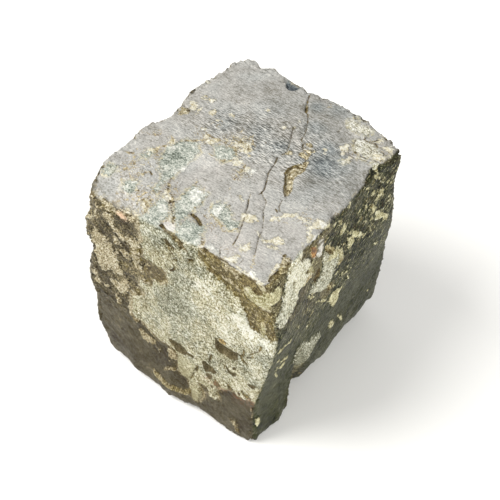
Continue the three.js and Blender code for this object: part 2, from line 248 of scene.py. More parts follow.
# cracks: points, half width, depth
T_CRACKS = [
    ([(-2.6, 27.6), (-1.8, 25.5), (-1, 24), (-0.4, 23)], 0.26, 0.6),
    ([(-0.8, 23.8), (0.25, 22)], 0.42, 0.8),
    ([(0.2, 22), (1.3, 21), (2.3, 19.5), (3.3, 17.8), (4.2, 16), (4.7, 14.5), (5, 13), (6, 12.2), (7, 10.5)], 0.15, 0.45),
    ([(1, 15.5), (2, 13.5), (3, 11.5), (4, 9.5), (4.8, 7.5), (4.3, 6)], 0.17, 0.5),
    ([(4.2, 4.8), (4.8, 3), (5.2, 1), (5.5, -0.5), (6.3, -2), (7.3, -4), (8, -5.5), (7.8, -7.2)], 0.20, 0.55),
    ([(6.2, -8), (7.2, -10), (8.5, -12.2)], 0.12, 0.35),
    ([(7, -9.8), (8.2, -11.7), (9, -13.5)], 0.19, 0.5),
    ([(9.6, -14.8), (10, -15.5), (11, -18), (12, -20.5), (12.5, -22.7)], 0.17, 0.45),
    ([(8, -6.4), (9.4, -7.4), (10.5, -8), (11.5, -10.5), (13, -12.5), (14.8, -15.2), (15.5, -17.5), (16.8, -20), (17.8, -22)], 0.15, 0.45),
    ([(12.9, -5.5), (13.5, -7.5), (14.5, -8.5)], 0.17, 0.4),
    ([(11.3, -25.4), (12.5, -27.1)], 0.12, 0.3),
    ([(16.7, -24.5), (16.8, -26)], 0.13, 0.3),
    ([(-24, 5.0), (-22.6, 4.8), (-21.2, 4.3)], 0.2, 0.5),
    ([(10.2, 7.4), (9.4, 8.2), (7.4, 8.2)], 0.16, 0.3),
    ([(6.1, 12.4), (6.6, 11.4), (7.1, 10.8)], 0.17, 0.4),
    ([(14, 15.9), (18, 16.0), (21.5, 16.9)], 0.12, 0.3),
    ([(16.8, 17.4), (19.2, 17.3), (22, 17.9), (24, 17.9)], 0.16, 0.35),
    ([(18.4, 20.3), (21.5, 20.1)], 0.12, 0.2),
    ([(16.2, 22.9), (17.6, 22.4), (19.2, 22.7), (20.2, 22.2)], 0.22, 0.4),
    ([(18.2, 22.9), (19.2, 24.4)], 0.14, 0.3),
    ([(14.8, 21.2), (15.2, 19.6), (15.6, 18.5)], 0.14, 0.3),
    ([(16.6, 23.4), (15.8, 23.9)], 0.14, 0.3),
    ([(22.4, 21.8), (22.9, 20.4)], 0.14, 0.3),
    ([(9.9, 24.4), (10.1, 21.4), (10.4, 20.2)], 0.10, 0.25),
    ([(10, 28.2), (11.0, 26.8)], 0.14, 0.3),
]
# thin golden and cream veins
T_VEINS = [
    ([(-18.8, -5), (-17.4, -6.8), (-17.8, -8.6), (-19, -10.2), (-18.2, -11.4), (-17, -12)], 0.22),
    ([(-16.4, -5.2), (-14.2, -3.6), (-12.8, -1.8), (-11.2, -0.6), (-9.6, -0.4)], 0.2),
    ([(-13.4, 0.9), (-11.6, 0.3), (-10, 0.4), (-8.4, 1.1), (-7, 0.6), (-5, 0.8), (-3.6, -0.6)], 0.24),
    ([(-3, -2.8), (-4.6, -4.3), (-6.8, -4.9), (-8.6, -4)], 0.2),
    ([(-0.2, -1.8), (0.5, -3), (0.6, -4.6), (1.2, -6), (1, -7.4)], 0.3),
    ([(-5.8, -11.8), (-5.2, -13.2), (-4.3, -14.2)], 0.2),
    ([(-10.2, -15), (-9.4, -17.2), (-8.2, -19), (-6.6, -19.6), (-5.2, -21), (-3.6, -22.6), (-2.2, -24.2), (-1, -25.8)], 0.26),
    ([(-6.8, -19.6), (-5.4, -19), (-4.6, -17.6), (-4.8, -15.6)], 0.16),
    ([(-15.2, -17.4), (-16.4, -19.2), (-16, -21), (-17.2, -22.4)], 0.2),
    ([(-21.2, -15.2), (-19.8, -16.8), (-19.2, -18.4), (-20, -20)], 0.2),
    ([(-24, -15.6), (-22, -15.2), (-20.6, -15.4)], 0.18),
    ([(-9.2, -23.4), (-8.5, -25), (-8, -27)], 0.22),
    ([(-14.2, -22.8), (-12.6, -23.6), (-11.4, -22.8), (-10.6, -21)], 0.16),
    ([(-13.4, -26.8), (-12, -25), (-10.4, -24.6), (-9, -24.8)], 0.18),
    ([(-18.6, -3), (-20, -4.6), (-21.6, -5), (-23, -6.4)], 0.14),
    ([(3.4, -18.6), (6, -19.2), (7.6, -20.2), (8.6, -21), (9.8, -19.9), (10.6, -18.4)], 0.2),
    ([(-0.2, -19), (-0.1, -20.6), (0.3, -22)], 0.16),
    ([(5.4, -23.6), (6.4, -25), (7.6, -26.6)], 0.2),
    ([(17.8, -22), (18.8, -23.8), (19.4, -25.2)], 0.14),
    ([(1.6, -9), (2.4, -10.4), (2.2, -12), (3.2, -13.6)], 0.14),
    ([(4.6, -14), (6.4, -15.4), (8.6, -16)], 0.16),
    ([(-8.4, 3.2), (-6.2, 3.8), (-4, 3.4), (-2, 2.4), (-0.8, 1)], 0.2),
    ([(-22.4, -13.2), (-20.8, -12.9), (-19.4, -13.2)], 0.14),
]
T_MOTT = [
    [(-19, -5), (-17, -5.4), (-16.8, -8.6), (-18, -9.8), (-18.8, -7.5)],
    [(-20.2, -11.6), (-18.7, -11.4), (-18.2, -15.6), (-19.6, -17.2), (-20.4, -14.5)],
    [(-13.6, 0.8), (-9.4, 1.0), (-9, -1.4), (-11.6, -2.8), (-13.4, -1.2)],
    [(-8.4, 4), (-5, 4.4), (-2, 3.8), (-0.8, 2), (-3, 0.6), (-6, 0.8), (-8.4, 1.8)],
    [(0.2, -1), (3, -1.4), (3.2, -3.2), (1.8, -4), (1.6, -7), (0.2, -5.4), (-0.8, -2.6)],
    [(-16.8, -18.2), (-15.8, -17.6), (-15.2, -18.6), (-16, -20.2), (-16.8, -19.6)],
    [(-9.6, -17.6), (-6.4, -19), (-4.6, -20.6), (-2, -24), (-1, -27), (-2.6, -26), (-5.4, -22.6), (-8.4, -20.4)],
    [(-10.2, -23.6), (-8.2, -23.8), (-7.8, -27.4), (-9.4, -28), (-10.4, -26)],
    [(3.6, -18.8), (6, -18.6), (8, -19.6), (9, -20.4), (8, -20.6), (5.6, -19.8)],
    [(-3.4, -1.6), (-1.4, -1.2), (-1, -3.6), (-2.6, -4.4)],
    [(16.2, -25.4), (17.4, -25.2), (18.6, -26.4), (17.6, -27.6), (16, -27.4)],
    [(9, 14.6), (12, 14), (12, 12.6), (9.6, 12.8)],
]
T_LEDGE = [(11.3, 5.5), (10.5, 5.9), (9, 5.1), (8.3, 3.6), (8.6, 1.5), (9.5, 0.5), (10.5, -1), (11.5, -3), (12.8, -4.3)]
T_SLOTS = [
    ([(0.4, -21.2), (2, -21.5), (3.5, -22.3)], 0.5, 0.6),
    ([(-2.8, -28.1), (-1, -28.9), (1.6, -28.9), (4.5, -30.2)], 0.55, 0.8),
    ([(0, -30.7), (4, -31.6)], 0.4, 0.5),
]
T_BROWN = [
    ([(-10.2, -15), (-9.6, -17), (-8.4, -18.7)], 0.24, 0.1),
    ([(-0.3, -16.5), (0, -18), (0.3, -19)], 0.16, 0.15),
    ([(-8.6, -18.9), (-7.4, -19.1)], 0.14, 0.08),
    ([(-6, -21), (-3.6, -23.3), (-1.2, -25)], 0.2, 0.1),
    ([(-5.6, -21.8), (-5, -20.6), (-4.8, -19.4)], 0.14, 0.1),
    ([(-15.2, -17), (-14.4, -17.2)], 0.22, 0.2),
    ([(-17, -19.4), (-15.6, -20.4)], 0.16, 0.1),
    ([(-23.6, -15.2), (-22.4, -15.9)], 0.16, 0.1),
    ([(-0.4, -15.4), (-0.1, -13.8)], 0.14, 0.1),
    ([(13.2, -8.4), (14.6, -9.6)], 0.12, 0.1),
    ([(6.6, -20.2), (8.4, -20.5)], 0.12, 0.1),
]
T_CHIP = [(-10.2, 29.5), (-9.6, 27), (-8.7, 25.8), (-7.5, 25.3), (-6.3, 25.9), (-5.8, 27), (-5.2, 29.5)]
T_BLUE = [((14, 9), 5.5, 1.0), ((12, 14), 4, 0.7), ((17, 2), 5, 0.45), ((2, 8), 3, 0.6), ((1.5, 24.5), 2.6, 0.8), ((-12, 7), 4, 0.45), ((-4, 9), 4, 0.6), ((-6, 18), 5, 0.35), ((5, 18), 4, 0.5),
          ((16, 13), 2, 0.9), ((-2, 4), 3, 0.3), ((-16, 22), 6, 0.15), ((-12, -10), 4, 0.3), ((6, 26), 3.5, 0.5), ((9, 18), 5, 0.3)]
# lighter and darker spots of the top, carried by the light field: a painted sheen brightest towards the front, painted
# shade towards the rear and right rims, and a few paler or darker patches of its own
T_PAINTED_LIGHT = [((12, -25), 8, 1.0), ((21, -13), 6, 0.38), ((-18, -27), 6, 0.1), ((-1, -27.2), 2.2, 1.0), ((-20, 15), 8, 0.05), ((8, -10), 5, 0.35), ((-6, -8), 6, 0.45), ((-15, 14), 6, 0.05), ((-6, -1), 3, 0.4), ((-10, -27), 4, 0.3), ((-20, -10), 6, 0.25), ((16.9, 9), 1.1, 0.8), ((17.6, 6.4), 1.0, 0.5), ((-17.6, -19.3), 2.2, 0.4), ((-13, -17.6), 1.2, 0.4)]
T_DIM = [((5, 22), 6, 0.30), ((22.6, 7), 3.2, 0.7), ((17.5, 6), 3, 0.4), ((20.5, 12), 3, 0.35), ((12, 10), 3, 0.25), ((-4, 24), 6, 0.2), ((-14.2, -11.4), 3.2, 0.95), ((-11.7, -12.4), 1.9, 0.8), ((-11.3, -16), 1.6, 0.8), ((-10.9, -20.2), 1.2, 0.9)]
T_SPECK = [((-9, -25), 9, 0.9), ((-6, 2), 6, 0.95), ((-18, -19), 6, 0.8), ((4, -18), 5, 0.8), ((20, -7), 4, 0.5), ((20, 23), 6, 0.55), ((13, 27.5), 4, 0.5), ((24, 18), 4, 0.5), ((4, 27.5), 2.2, 0.7), ((-13, 5), 4, 0.4), ((1, -5), 3, 0.8), ((10, -28), 8, 0.6), ((-22, -8), 4, 0.4), ((-13, -2), 5, 0.7), ((-16, -13), 5, 0.6), ((9, 11), 2.5, 0.8), ((17, 14), 4, 0.5)]

# front face, (x, z)
F_CRUST = [
    [(-9.5, 58.5), (-7.5, 61.5), (8, 61.5), (7.4, 59.4), (7.3, 56.8), (9.1, 56.2), (10, 54.6), (13, 53.6), (15.4, 52.2), (18.4, 51.6), (19.7, 50), (20.4, 48.4), (20.6, 47), (21.2, 45.8), (22, 44.5), (23.4, 44.4), (24.6, 43.8), (25.4, 44.1), (26.5, 44.4), (27.5, 43.7), (28.5, 44.7), (30, 45.6), (30, 40), (28.6, 35), (27.6, 30), (26.2, 25), (25.4, 20), (24.6, 16.5), (23, 16.5), (21.5, 15.5), (20, 15.2), (17.5, 15), (15.8, 14.4), (14.8, 13.8), (13.8, 13), (13, 11.4), (12.2, 9.8), (12.6, 8.6), (12.8, 7.2), (12, 7.2), (10.9, 6.8), (10.5, 8.4), (10, 10.2), (8.2, 10.2), (7.2, 9.6), (7.1, 8.2), (7.5, 6.6), (8.2, 5), (7.8, 3), (7.2, 1.4), (6.2, -0.2), (5.4, 1), (5, 3.2), (4.7, 5), (4.4, 6.8), (4.1, 8.3), (1.6, 8.4), (1.1, 9.6), (0.8, 11), (0.7, 12.2), (0.8, 13.6), (1, 15.2), (0.5, 16.6), (-1, 17.3), (-2.6, 17), (-4, 16.9), (-6, 17.5), (-9, 18.6), (-11.2, 19.6), (-12.4, 20.4), (-13, 22), (-13.4, 23.6), (-13.3, 25), (-13.5, 27), (-12.5, 28), (-9.8, 31), (-8.4, 33.4), (-9.4, 32.2), (-10.6, 33), (-10.2, 34.4), (-9.6, 35.8), (-8.4, 36), (-6.9, 36.6), (-6.4, 38), (-5.8, 39.3), (-4, 39.2), (-2.8, 39.9), (-1.9, 40.8), (-1.4, 42), (-2.1, 43.8), (-1.9, 44.9), (-2.8, 45.5), (-4.2, 45.2), (-6.5, 44.7), (-8.2, 44.9), (-8.9, 45.8), (-8.7, 47.4), (-9.2, 49), (-8.3, 51.4), (-9, 52.6), (-9.9, 54.2), (-9.6, 57)],
]
F_TAN = [
    [(-24, 44.8), (-22, 46), (-20.8, 44.8), (-18.8, 44), (-18, 42), (-16, 41.7), (-16.2, 39.6), (-16.3, 37), (-14.8, 35.5), (-15, 33), (-16.5, 32.2), (-18, 33.3), (-19.5, 33), (-21, 31.5), (-22.5, 32.2), (-24, 34), (-24.3, 37), (-23.5, 38.5), (-24.3, 40), (-24.8, 42.6)],
    [(-15.7, 43.2), (-14.2, 44.1), (-12.8, 42.6), (-13, 41), (-14.6, 41.4)],
    [(-20.2, 52.8), (-18, 53.5), (-17, 52.8), (-16.9, 51), (-15.8, 50), (-14.8, 49.2), (-13.4, 49), (-12.6, 50.4), (-11.4, 49.8), (-9.6, 49.8), (-9.1, 48), (-12, 47.7), (-14.3, 47.2), (-16, 48.4), (-17.8, 49), (-19.5, 50), (-20, 51.4)],
    [(-17.7, 46.5), (-16.2, 46.4), (-14.9, 44.9), (-15.8, 44.1), (-17.1, 44.8)],
    [(-12.4, 45.6), (-10, 46.8), (-9, 45.4), (-10.2, 44.6), (-11.4, 44.4)],
    [(-10.5, 40), (-9, 42.6), (-8.8, 40.2), (-9.8, 39.6)],
    [(-22.5, 53), (-21.7, 54.2), (-20.9, 52.5), (-21.1, 50.8), (-22.4, 51.4)],
    [(-24.8, 49.4), (-23.4, 50.4), (-22.6, 49), (-23.6, 47.6), (-25, 47.6)],
    [(-16, 32.3), (-14.4, 32.1), (-13.6, 31), (-13.3, 29.8), (-13.9, 28.5), (-14.8, 27.5), (-15.8, 26.8), (-17.4, 27), (-19.2, 27.5), (-20, 28.8), (-19.2, 29.7), (-17.6, 30.4), (-16.4, 31.2)],
    [(-22.8, 32.6), (-20.9, 32.2), (-21.1, 30.9), (-22.5, 30.5)],
    [(-22.1, 25.9), (-20.8, 26), (-20.7, 24.9), (-22, 24.8)],
    [(-18.2, 24.8), (-17, 25.2), (-16.5, 22.5), (-17.2, 20.3), (-18.3, 21)],
    [(-25.6, 29), (-24.8, 29.6), (-24.2, 28.2), (-24.2, 26.8), (-23.1, 26.3), (-23, 24.6), (-24, 23.9), (-25, 24.8), (-25.5, 27)],
    [(-13.3, 25.6), (-12.2, 25), (-11, 22.6), (-10.8, 20.2), (-13.8, 19.9), (-14, 22.2), (-13.9, 23.6)],
    [(-13, 20), (-11.6, 20.2), (-11.5, 18.9), (-12.8, 18.7)],
    [(-11.4, 16.3), (-10, 17), (-8, 16.8), (-6.6, 16), (-6.2, 15), (-6.8, 14), (-8.4, 13.2), (-10.4, 13.4), (-11, 14.6)],
    [(-5.4, 13.7), (-4.4, 14.1), (-3.8, 12.4), (-4.4, 11.7), (-5, 12)],
    [(-2.2, 13.3), (-0.4, 13), (0.7, 13.3), (1.2, 15.2), (0.7, 16.7), (-0.8, 17.4), (-1.9, 16.9), (-1.6, 15.2)],
    [(17.8, 4.2), (19.2, 4.4), (20.6, 1.4), (20.4, 0), (19, 0.2), (18.2, 2)],
    [(24.2, 48.2), (25.4, 48.6), (26.3, 47.4), (26, 45), (25.2, 44.2), (24.5, 45.2)],
    [(13.6, 60.9), (14.6, 61.6), (15.6, 61), (15.9, 60), (15.6, 59), (15, 58.3), (14.2, 58.4), (13.9, 59.2), (14.4, 59.8), (13.6, 60.2)],
    [(13.8, 56), (14.4, 56.4), (15, 56), (15.6, 56.2), (15.4, 55.5), (14.7, 55.1), (14, 55.2)],
    [(16.3, 56.8), (16.9, 56.4), (17.2, 55.8), (16.7, 55.4), (16.2, 55.9)],
    [(17.6, 55.8), (18.6, 55.9), (19.2, 55.5), (18.5, 54.9), (17.6, 54.9)],
    [(20.1, 58.4), (21, 58.9), (21.6, 58.5), (20.8, 57.9), (20.1, 57.9)],
    [(17.5, 58.9), (18.1, 59), (18.1, 58.1), (17.5, 58.1)],
    [(22.6, 60.4), (23.2, 61.3), (24.6, 61.5), (25.3, 59.8), (25.6, 58.4), (24.4, 58.3), (23.5, 59.4)],
    [(15.6, 60.8), (16.6, 61.2), (17.8, 60.8), (18.6, 60.2), (18.3, 59.3), (17.2, 58.6), (16, 58.7), (15.4, 59.4)],
    [(11, 57), (11.6, 57.2), (12.2, 56.9), (11.8, 56.3), (11.1, 56.4)],
    [(8.1, 59.8), (9.2, 60.1), (9.4, 59.5), (8.6, 59)],
    [(9.7, 58.9), (10.4, 59), (10.3, 58.3), (9.7, 58.3)],
    [(16.2, 62.6), (18.6, 62.2), (19, 60.4), (17.6, 60.2)],
    [(-25.5, 52), (-24.4, 53.2), (-23.8, 51.4), (-24.6, 50)],
    [(-15.8, 56.2), (-13.4, 56.8), (-12.4, 55.6), (-13.4, 54.4), (-15.2, 54.6)],
]
F_FROTH = [((-10.8, 47.6), 2.4, 1.0), ((-10.8, 44.6), 2.4, 1.0), ((-10.6, 41.2), 2.2, 1.0), ((-9.6, 37.6), 1.6, 0.8), ((-18.6, 55.4), 3.4, 0.85), ((-11.8, 56.4), 2.4, 0.9), ((-22.6, 50.4), 2.2, 0.6), ((-13.6, 47.4), 2, 0.6), ((-6.4, 43.6), 1.0, 0.8), ((-2.4, 41.4), 1.0, 0.8), ((-4.4, 40.4), 0.9, 0.7), ((-7.6, 37.6), 1.4, 0.6),
           ((-22.6, 33.5), 2.6, 0.45), ((-16.6, 33.8), 2, 0.6), ((-11, 31), 2.4, 0.75), ((-19, 31), 2.6, 0.5), ((-23.6, 56), 2, 0.6), ((-14, 38), 1.6, 0.5)]
F_OLIVE = [((-10.6, 45), 3, 0.8), ((-16, 38.4), 2, 0.6), ((-10.6, 41), 2, 0.5)]
F_BLOCK = [   # dark olive blocks and grooves in the crust
    [(-8.7, 44.2), (-7, 44.9), (-5, 45.1), (-3.5, 44.5), (-2.5, 42.8), (-2.7, 41), (-4, 39.9), (-5.4, 39.5), (-6, 39.2), (-6.4, 37.3), (-7.6, 36), (-8.1, 37.6), (-8.4, 39.6), (-8.7, 41.6)],
    [(-2.8, 59.3), (-2.2, 59.8), (-1, 59.9), (0.2, 59.7), (1.4, 60), (2, 59.4), (2.4, 58.8), (3, 58.6), (3.3, 57.8), (4, 57), (4.4, 56.8), (4.2, 56.1), (3.2, 56.6), (2.8, 56.2), (2.2, 56.2), (1.6, 57), (0.8, 57.6), (0.2, 57.6), (0, 58.4), (-1, 58.4), (-2.2, 58.6)],
    [(-2.8, 55.6), (-2.4, 56.2), (-1.4, 56.4), (-0.6, 56), (0.2, 55.4), (1.2, 55.1), (0.4, 54.6), (0, 54.2), (-1, 54.4), (-2.2, 54.8)],
    [(4.2, 53.9), (5, 54.6), (5.6, 55.3), (6.5, 55.5), (6.2, 54.8), (5.2, 54.1), (4.6, 53.7)],
    [(0.1, 51.3), (1.2, 52), (1.8, 51.8), (1.2, 51), (0.4, 50.9)],
]
F_CUT = [     # dark metal showing between the tan skins
    [(-24, 55), (-22, 55.1), (-21.8, 52.8), (-22.5, 51.3), (-23.8, 51.2)],
    [(-22.7, 58.2), (-21, 58), (-20.9, 56.3), (-22.3, 56)],
    [(-17, 54.2), (-15.5, 54.1), (-15.2, 53.2), (-16.2, 52.3), (-16.4, 50.9), (-17, 51)],
    [(-13.8, 53.3), (-12.8, 53.9), (-11.8, 53.7), (-10.4, 52.8), (-9.3, 51.9), (-9.6, 51), (-11, 50.4), (-12.4, 50.5), (-12.9, 51.5), (-14, 51.8)],
    [(-21.3, 56), (-19.9, 55.8), (-19.7, 54.9), (-20.3, 54.3), (-21.2, 54.8)],
    [(-19.4, 54.2), (-18.6, 53.7), (-19.4, 52.9), (-20.4, 51.8), (-20.7, 50.4), (-21.7, 50.4), (-21.5, 52), (-20.6, 53.3)],
    [(-13.3, 31.5), (-12, 31.9), (-10.7, 32.7), (-9.6, 33.1), (-8.3, 33.3), (-8.2, 32.5), (-9.3, 31.3), (-9.7, 30.4), (-10.7, 29.8), (-12, 29.6), (-13.1, 29.9), (-13.5, 30.8)],
    [(-24.4, 31), (-23.8, 31.2), (-22, 30.9), (-20.4, 31.3), (-18.4, 31.8), (-17, 32.2), (-16.4, 31.6), (-18, 30.7), (-19.6, 29.6), (-20, 28), (-19, 27.2), (-17.2, 26.7), (-17.4, 26.1), (-21, 26.5), (-23.8, 27), (-24.2, 29)],
    [(-15, 49.5), (-13.6, 50.7), (-12.8, 50), (-13.4, 48.8), (-14.9, 48.9)],
    [(-23, 46.3), (-22, 48), (-21.6, 50), (-20.2, 49.8), (-18.7, 48.4), (-17.5, 47.5), (-17.7, 46.2), (-16.5, 44.7), (-15.4, 44.8), (-14.8, 44.1), (-16, 43.2), (-16.3, 41.7), (-18, 42.5), (-18.7, 43.6), (-20, 44.9), (-21.6, 45.9)],
    [(-16, 48.1), (-14.4, 47.5), (-13, 46.6), (-11.8, 46.4), (-11.4, 45.2), (-12.4, 43.9), (-13.6, 44.6), (-15, 45.8), (-15.8, 46.8)],
    [(-16.5, 39.9), (-14.6, 40.3), (-13.5, 39.6), (-13.7, 38.3), (-15.4, 37.4), (-16.5, 37)],
    [(-12.7, 38.3), (-11, 39.5), (-10, 39), (-9.2, 37.6), (-10.6, 36.7), (-12.5, 37)],
    [(-14.6, 36), (-12, 36.3), (-10.4, 35.6), (-10, 33.4), (-11.6, 32), (-14.8, 32.6)],
    [(-25.6, 45.4), (-24.4, 44.4), (-24, 42.6), (-24.8, 40.2), (-25.8, 41)],
]
F_VEE = [(19.5, 55.2), (19.6, 56.7), (20.6, 57.5), (21.4, 58.2), (21.9, 57.3), (23, 56.9), (23.8, 57.6), (24.9, 58.2), (25.8, 59.6), (26.6, 61.6), (28.6, 62), (28.6, 59.6), (28.2, 57.4), (27.4, 55.4), (26.6, 53.7), (24.8, 53.1), (22.6, 53.6), (20.6, 54)]
F_ROSE = [((-14, 55.3), 1.4, 0.95), ((13.4, 16), 1.3, 1.0), ((10.5, 15.4), 1.4, 0.6), ((20, 15.2), 2.4, 0.8), ((23.4, 15.8), 1.8, 0.9), ((15, 15.2), 1.8, 0.6)]
F_TAN_LINES = [
    ([(-3.4, 6), (-1.6, 7.9), (0.2, 9.6)], 0.5),
    ([(-1.6, 11.7), (-0.9, 12.6)], 0.3),
    ([(-19, 56.2), (-16.4, 57), (-14, 57.4), (-10.5, 57.8)], 0.2),
    ([(-12.4, 37.4), (-11, 38.6), (-9.8, 37.2)], 0.22),
    ([(-21, 47), (-19.4, 45.4), (-17.4, 44.4)], 0.2),
    ([(-12.6, 46.6), (-10.8, 44.4), (-9.6, 43)], 0.3),
    ([(-24.2, 30), (-22, 28.8)], 0.3),
    ([(23.6, 14), (23.9, 11.5), (24.2, 9.6)], 0.16),
    ([(-11.8, 35.4), (-10.6, 34.6)], 0.26),
]
F_GOLD_LINES = [([(-6.4, 1.7), (-4, 0), (-2, -0.5), (0, 0.5), (2, 1.3), (4, 2.5), (5, 4)], 0.30)]
F_SMEAR = [([(-7, 2.4), (-4.6, 0.5), (-2.4, 0.1), (0, 0.9), (2.2, 1.9), (4.6, 3.4)], 0.55), ([(-12.6, 24.4), (-11.2, 21), (-8.6, 18.8), (-5.4, 17.2), (-2.6, 16.2), (-0.8, 14.4), (0.4, 12.2)], 0.45), ([(-2.2, 15.6), (-1.4, 13.8)], 0.3)]
F_PITS = [   # outline, depth
    ([(12.4, 33.0), (13.4, 32.2), (15.0, 31.8), (16.5, 31.7), (18.9, 31.9), (19.0, 29.6), (18.3, 28.7), (16.2, 28.2), (13.2, 28.0), (12.5, 29.4)], 1.25),
    ([(8.7, 20.4), (10, 20.7), (12, 20.3), (13.2, 19.2), (12.3, 18), (10.8, 17.5), (9.7, 16.5), (9.1, 17.4), (8.7, 19)], 1.0),
    ([(10.1, 16.6), (11.7, 17.1), (11.9, 15.6), (10.8, 14.3), (9.9, 15)], 0.5),
    ([(-1.9, 20.3), (-1, 20.8), (2, 20.9), (3.4, 20.4), (4.2, 19.8), (6.2, 19.9), (6, 18.9), (4, 18.6), (3, 17.5), (0.6, 17.4), (0, 18.3), (-0.8, 18.5), (-1.7, 19.3)], 0.9),
    ([(15.6, 24.8), (16.3, 23.0), (17, 22.2), (17.9, 22.0), (18.6, 22.8), (18.7, 24.4), (17.8, 23.6), (17, 23.5), (16.5, 24.2)], 0.45),
    ([(17.4, 25.4), (18.6, 26.5), (18.8, 25.2), (17.8, 24.9)], 0.4),
    ([(22, 23.5), (23, 23.4), (23.8, 24.2), (24.7, 23.2), (23.6, 22.0), (22.2, 22.5)], 0.4),
    ([(20.9, 17.3), (21.6, 18), (22.6, 18.4), (23.5, 17.6), (23, 16.5), (21.6, 16.5)], 0.35),
    ([(16.2, 17.3), (17, 17.2), (17.2, 16.3), (16.5, 15.9)], 0.3),
    ([(17.8, 16), (18.7, 16.2), (19, 15.2), (18, 15)], 0.3),
    ([(19.4, 17.1), (20.1, 16.9), (20.1, 15.9), (19.4, 15.9)], 0.25),
    ([(12, 15), (13.2, 15.3), (14.2, 14.8), (14.6, 13.9), (13.3, 13.2), (12.3, 13.7)], 0.35),
    ([(11.2, 12.9), (12, 13), (12.2, 12), (11.5, 11.6)], 0.25),
]
F_LINES = [  # cracks and dark lines in the crust: points, half width, depth
    ([(18.8, 31.8), (19.8, 31.5), (20.3, 30.4), (21.6, 29.9)], 0.36, 0.5),
    ([(20.5, 34.5), (20.6, 33.2), (20.1, 31.8)], 0.26, 0.3),
    ([(21.5, 32.8), (22.6, 33.5), (23.2, 34.4)], 0.2, 0.3),
    ([(22.2, 34.2), (23, 35.4), (24.6, 37.6), (25.6, 40)], 0.16, 0.3),
    ([(11.4, 25.2), (11.0, 23.4), (10.6, 21.6)], 0.22, 0.5),
    ([(7.1, 16.4), (6.8, 15), (6.4, 13.6)], 0.36, 0.5),
    ([(6.4, 13.6), (5.8, 12), (5.0, 9.4)], 0.17, 0.5),
    ([(17.3, 34.2), (18.1, 34.0)], 0.2, 0.2),
    ([(15.4, 24.4), (15.2, 22.8)], 0.18, 0.2),
    ([(15.9, 21.8), (16.1, 21.2)], 0.18, 0.2),
    ([(-2.4, 59.9), (-0.6, 60.1), (1, 60)], 0.16, 0.3),
    ([(0.2, 49.5), (0.8, 48.5), (0.2, 47.4), (-0.5, 46.5)], 0.24, 0.3),
    ([(-1, 54), (0.6, 52.6), (1.5, 51.5)], 0.26, 0.3),
    ([(16.4, 17.6), (17.6, 16.4), (17, 15.2)], 0.3, 0.3),
    ([(20.6, 18.2), (21.6, 17), (23, 16.4)], 0.3, 0.3),
    ([(12.6, 15.6), (14.2, 15)], 0.3, 0.3),
    ([(21.8, 19.6), (23.4, 18.4)], 0.16, 0.2),
]
F_BAND = [(7.2, 59.8), (7.1, 56.4), (9.2, 56), (10, 54.3), (13.2, 53.3), (15.6, 52), (18, 51.4), (19.6, 50.1), (20.3, 48.4), (20.4, 47), (21, 45.6), (21.9, 44.1), (23.4, 44.1), (24.6, 43.5), (25.4, 43.8), (26.4, 44.2), (27.5, 43.4), (28.7, 44.4), (30, 45), (30, 62.5), (26, 62), (24, 60.8), (19, 61.5), (14, 60.4), (9, 61.6)]
F_CRUMBS = [[(21.1, 46.2), (21.6, 45), (22.6, 44.3), (24, 44.3), (24.4, 45.6), (23.4, 46.6), (22.4, 46.8)], [(26.7, 44.8), (27.5, 43.7), (28.3, 45), (28.5, 47.4), (27.6, 47.2)], [(20.3, 51.4), (21.8, 52), (21.6, 50.6), (20.6, 50.2)]]
F_GROOVE = [[(8.5, 60.1), (8.8, 61.5), (11, 61), (13.4, 60.6), (13.5, 59.7), (11, 59.8)],
            [(18.4, 57.4), (19.4, 59.2), (20.6, 60.2), (22, 60.5), (23.2, 59.7), (24.5, 58.8), (24.3, 57.3), (22.9, 56.7), (22, 57.1), (21.6, 58), (20.4, 57.6), (19.2, 57)]]
F_PITRIM = [[(13.2, 33.6), (14.2, 34.1), (15.9, 33.6), (15.6, 32.3), (14.6, 32.0), (13.6, 32.4)]]
# painted highlights on the front: its crust and tan skins are painted lighter in these spots
F_PAINTED_HIGHLIGHT = [((22.6, 42.2), 4.0, 1.0), ((9.6, 47.6), 3.0, 0.7), ((6, 39), 3, 0.3), ((17, 46.2), 2.2, 0.4), ((14, 46.6), 2.2, 0.25), ((26, 56.6), 2, 0.9), ((23.5, 56), 4, 0.55), ((25, 46.5), 1.6, 0.4), ((19.6, 44), 4.5, 0.85), ((14, 40), 5, 0.45), ((26, 42), 3.4, 0.9), ((15, 36.5), 3, 0.5), ((23.6, 30.6), 2.8, 0.3)]
F_GREY = [((-8.6, 24), 3.4, 0.55), ((-6, 28), 3.4, 0.4), ((2, 45), 6, 0.7), ((2, 36), 7, 0.8), ((-2, 33), 5, 0.6), ((4, 52), 6, 0.45), ((4, 27), 5, 0.45), ((26, 36), 3, 0.6), ((22, 27), 4, 0.4), ((14, 22), 4, 0.3), ((-7, 26), 5, 0.25), ((-4, 57), 6, 0.8)]
F_WARM = [((4, 13), 4, 0.8), ((-3, 48), 4, 0.6), ((9, 44), 5, 0.5), ((10, 9), 4, 0.9), ((6.5, 4), 4, 0.8), ((-10, 25), 5, 0.5), ((-5, 18), 4, 0.7), ((20, 19), 5, 0.5), ((8, 33), 4, 0.4), ((1.5, 14), 3, 0.6), ((-0.6, 15.4), 2.0, 0.9), ((9.6, 11.8), 2.6, 0.9), ((-2, 50.5), 3, 0.6), ((22, 55), 5, 0.6)]

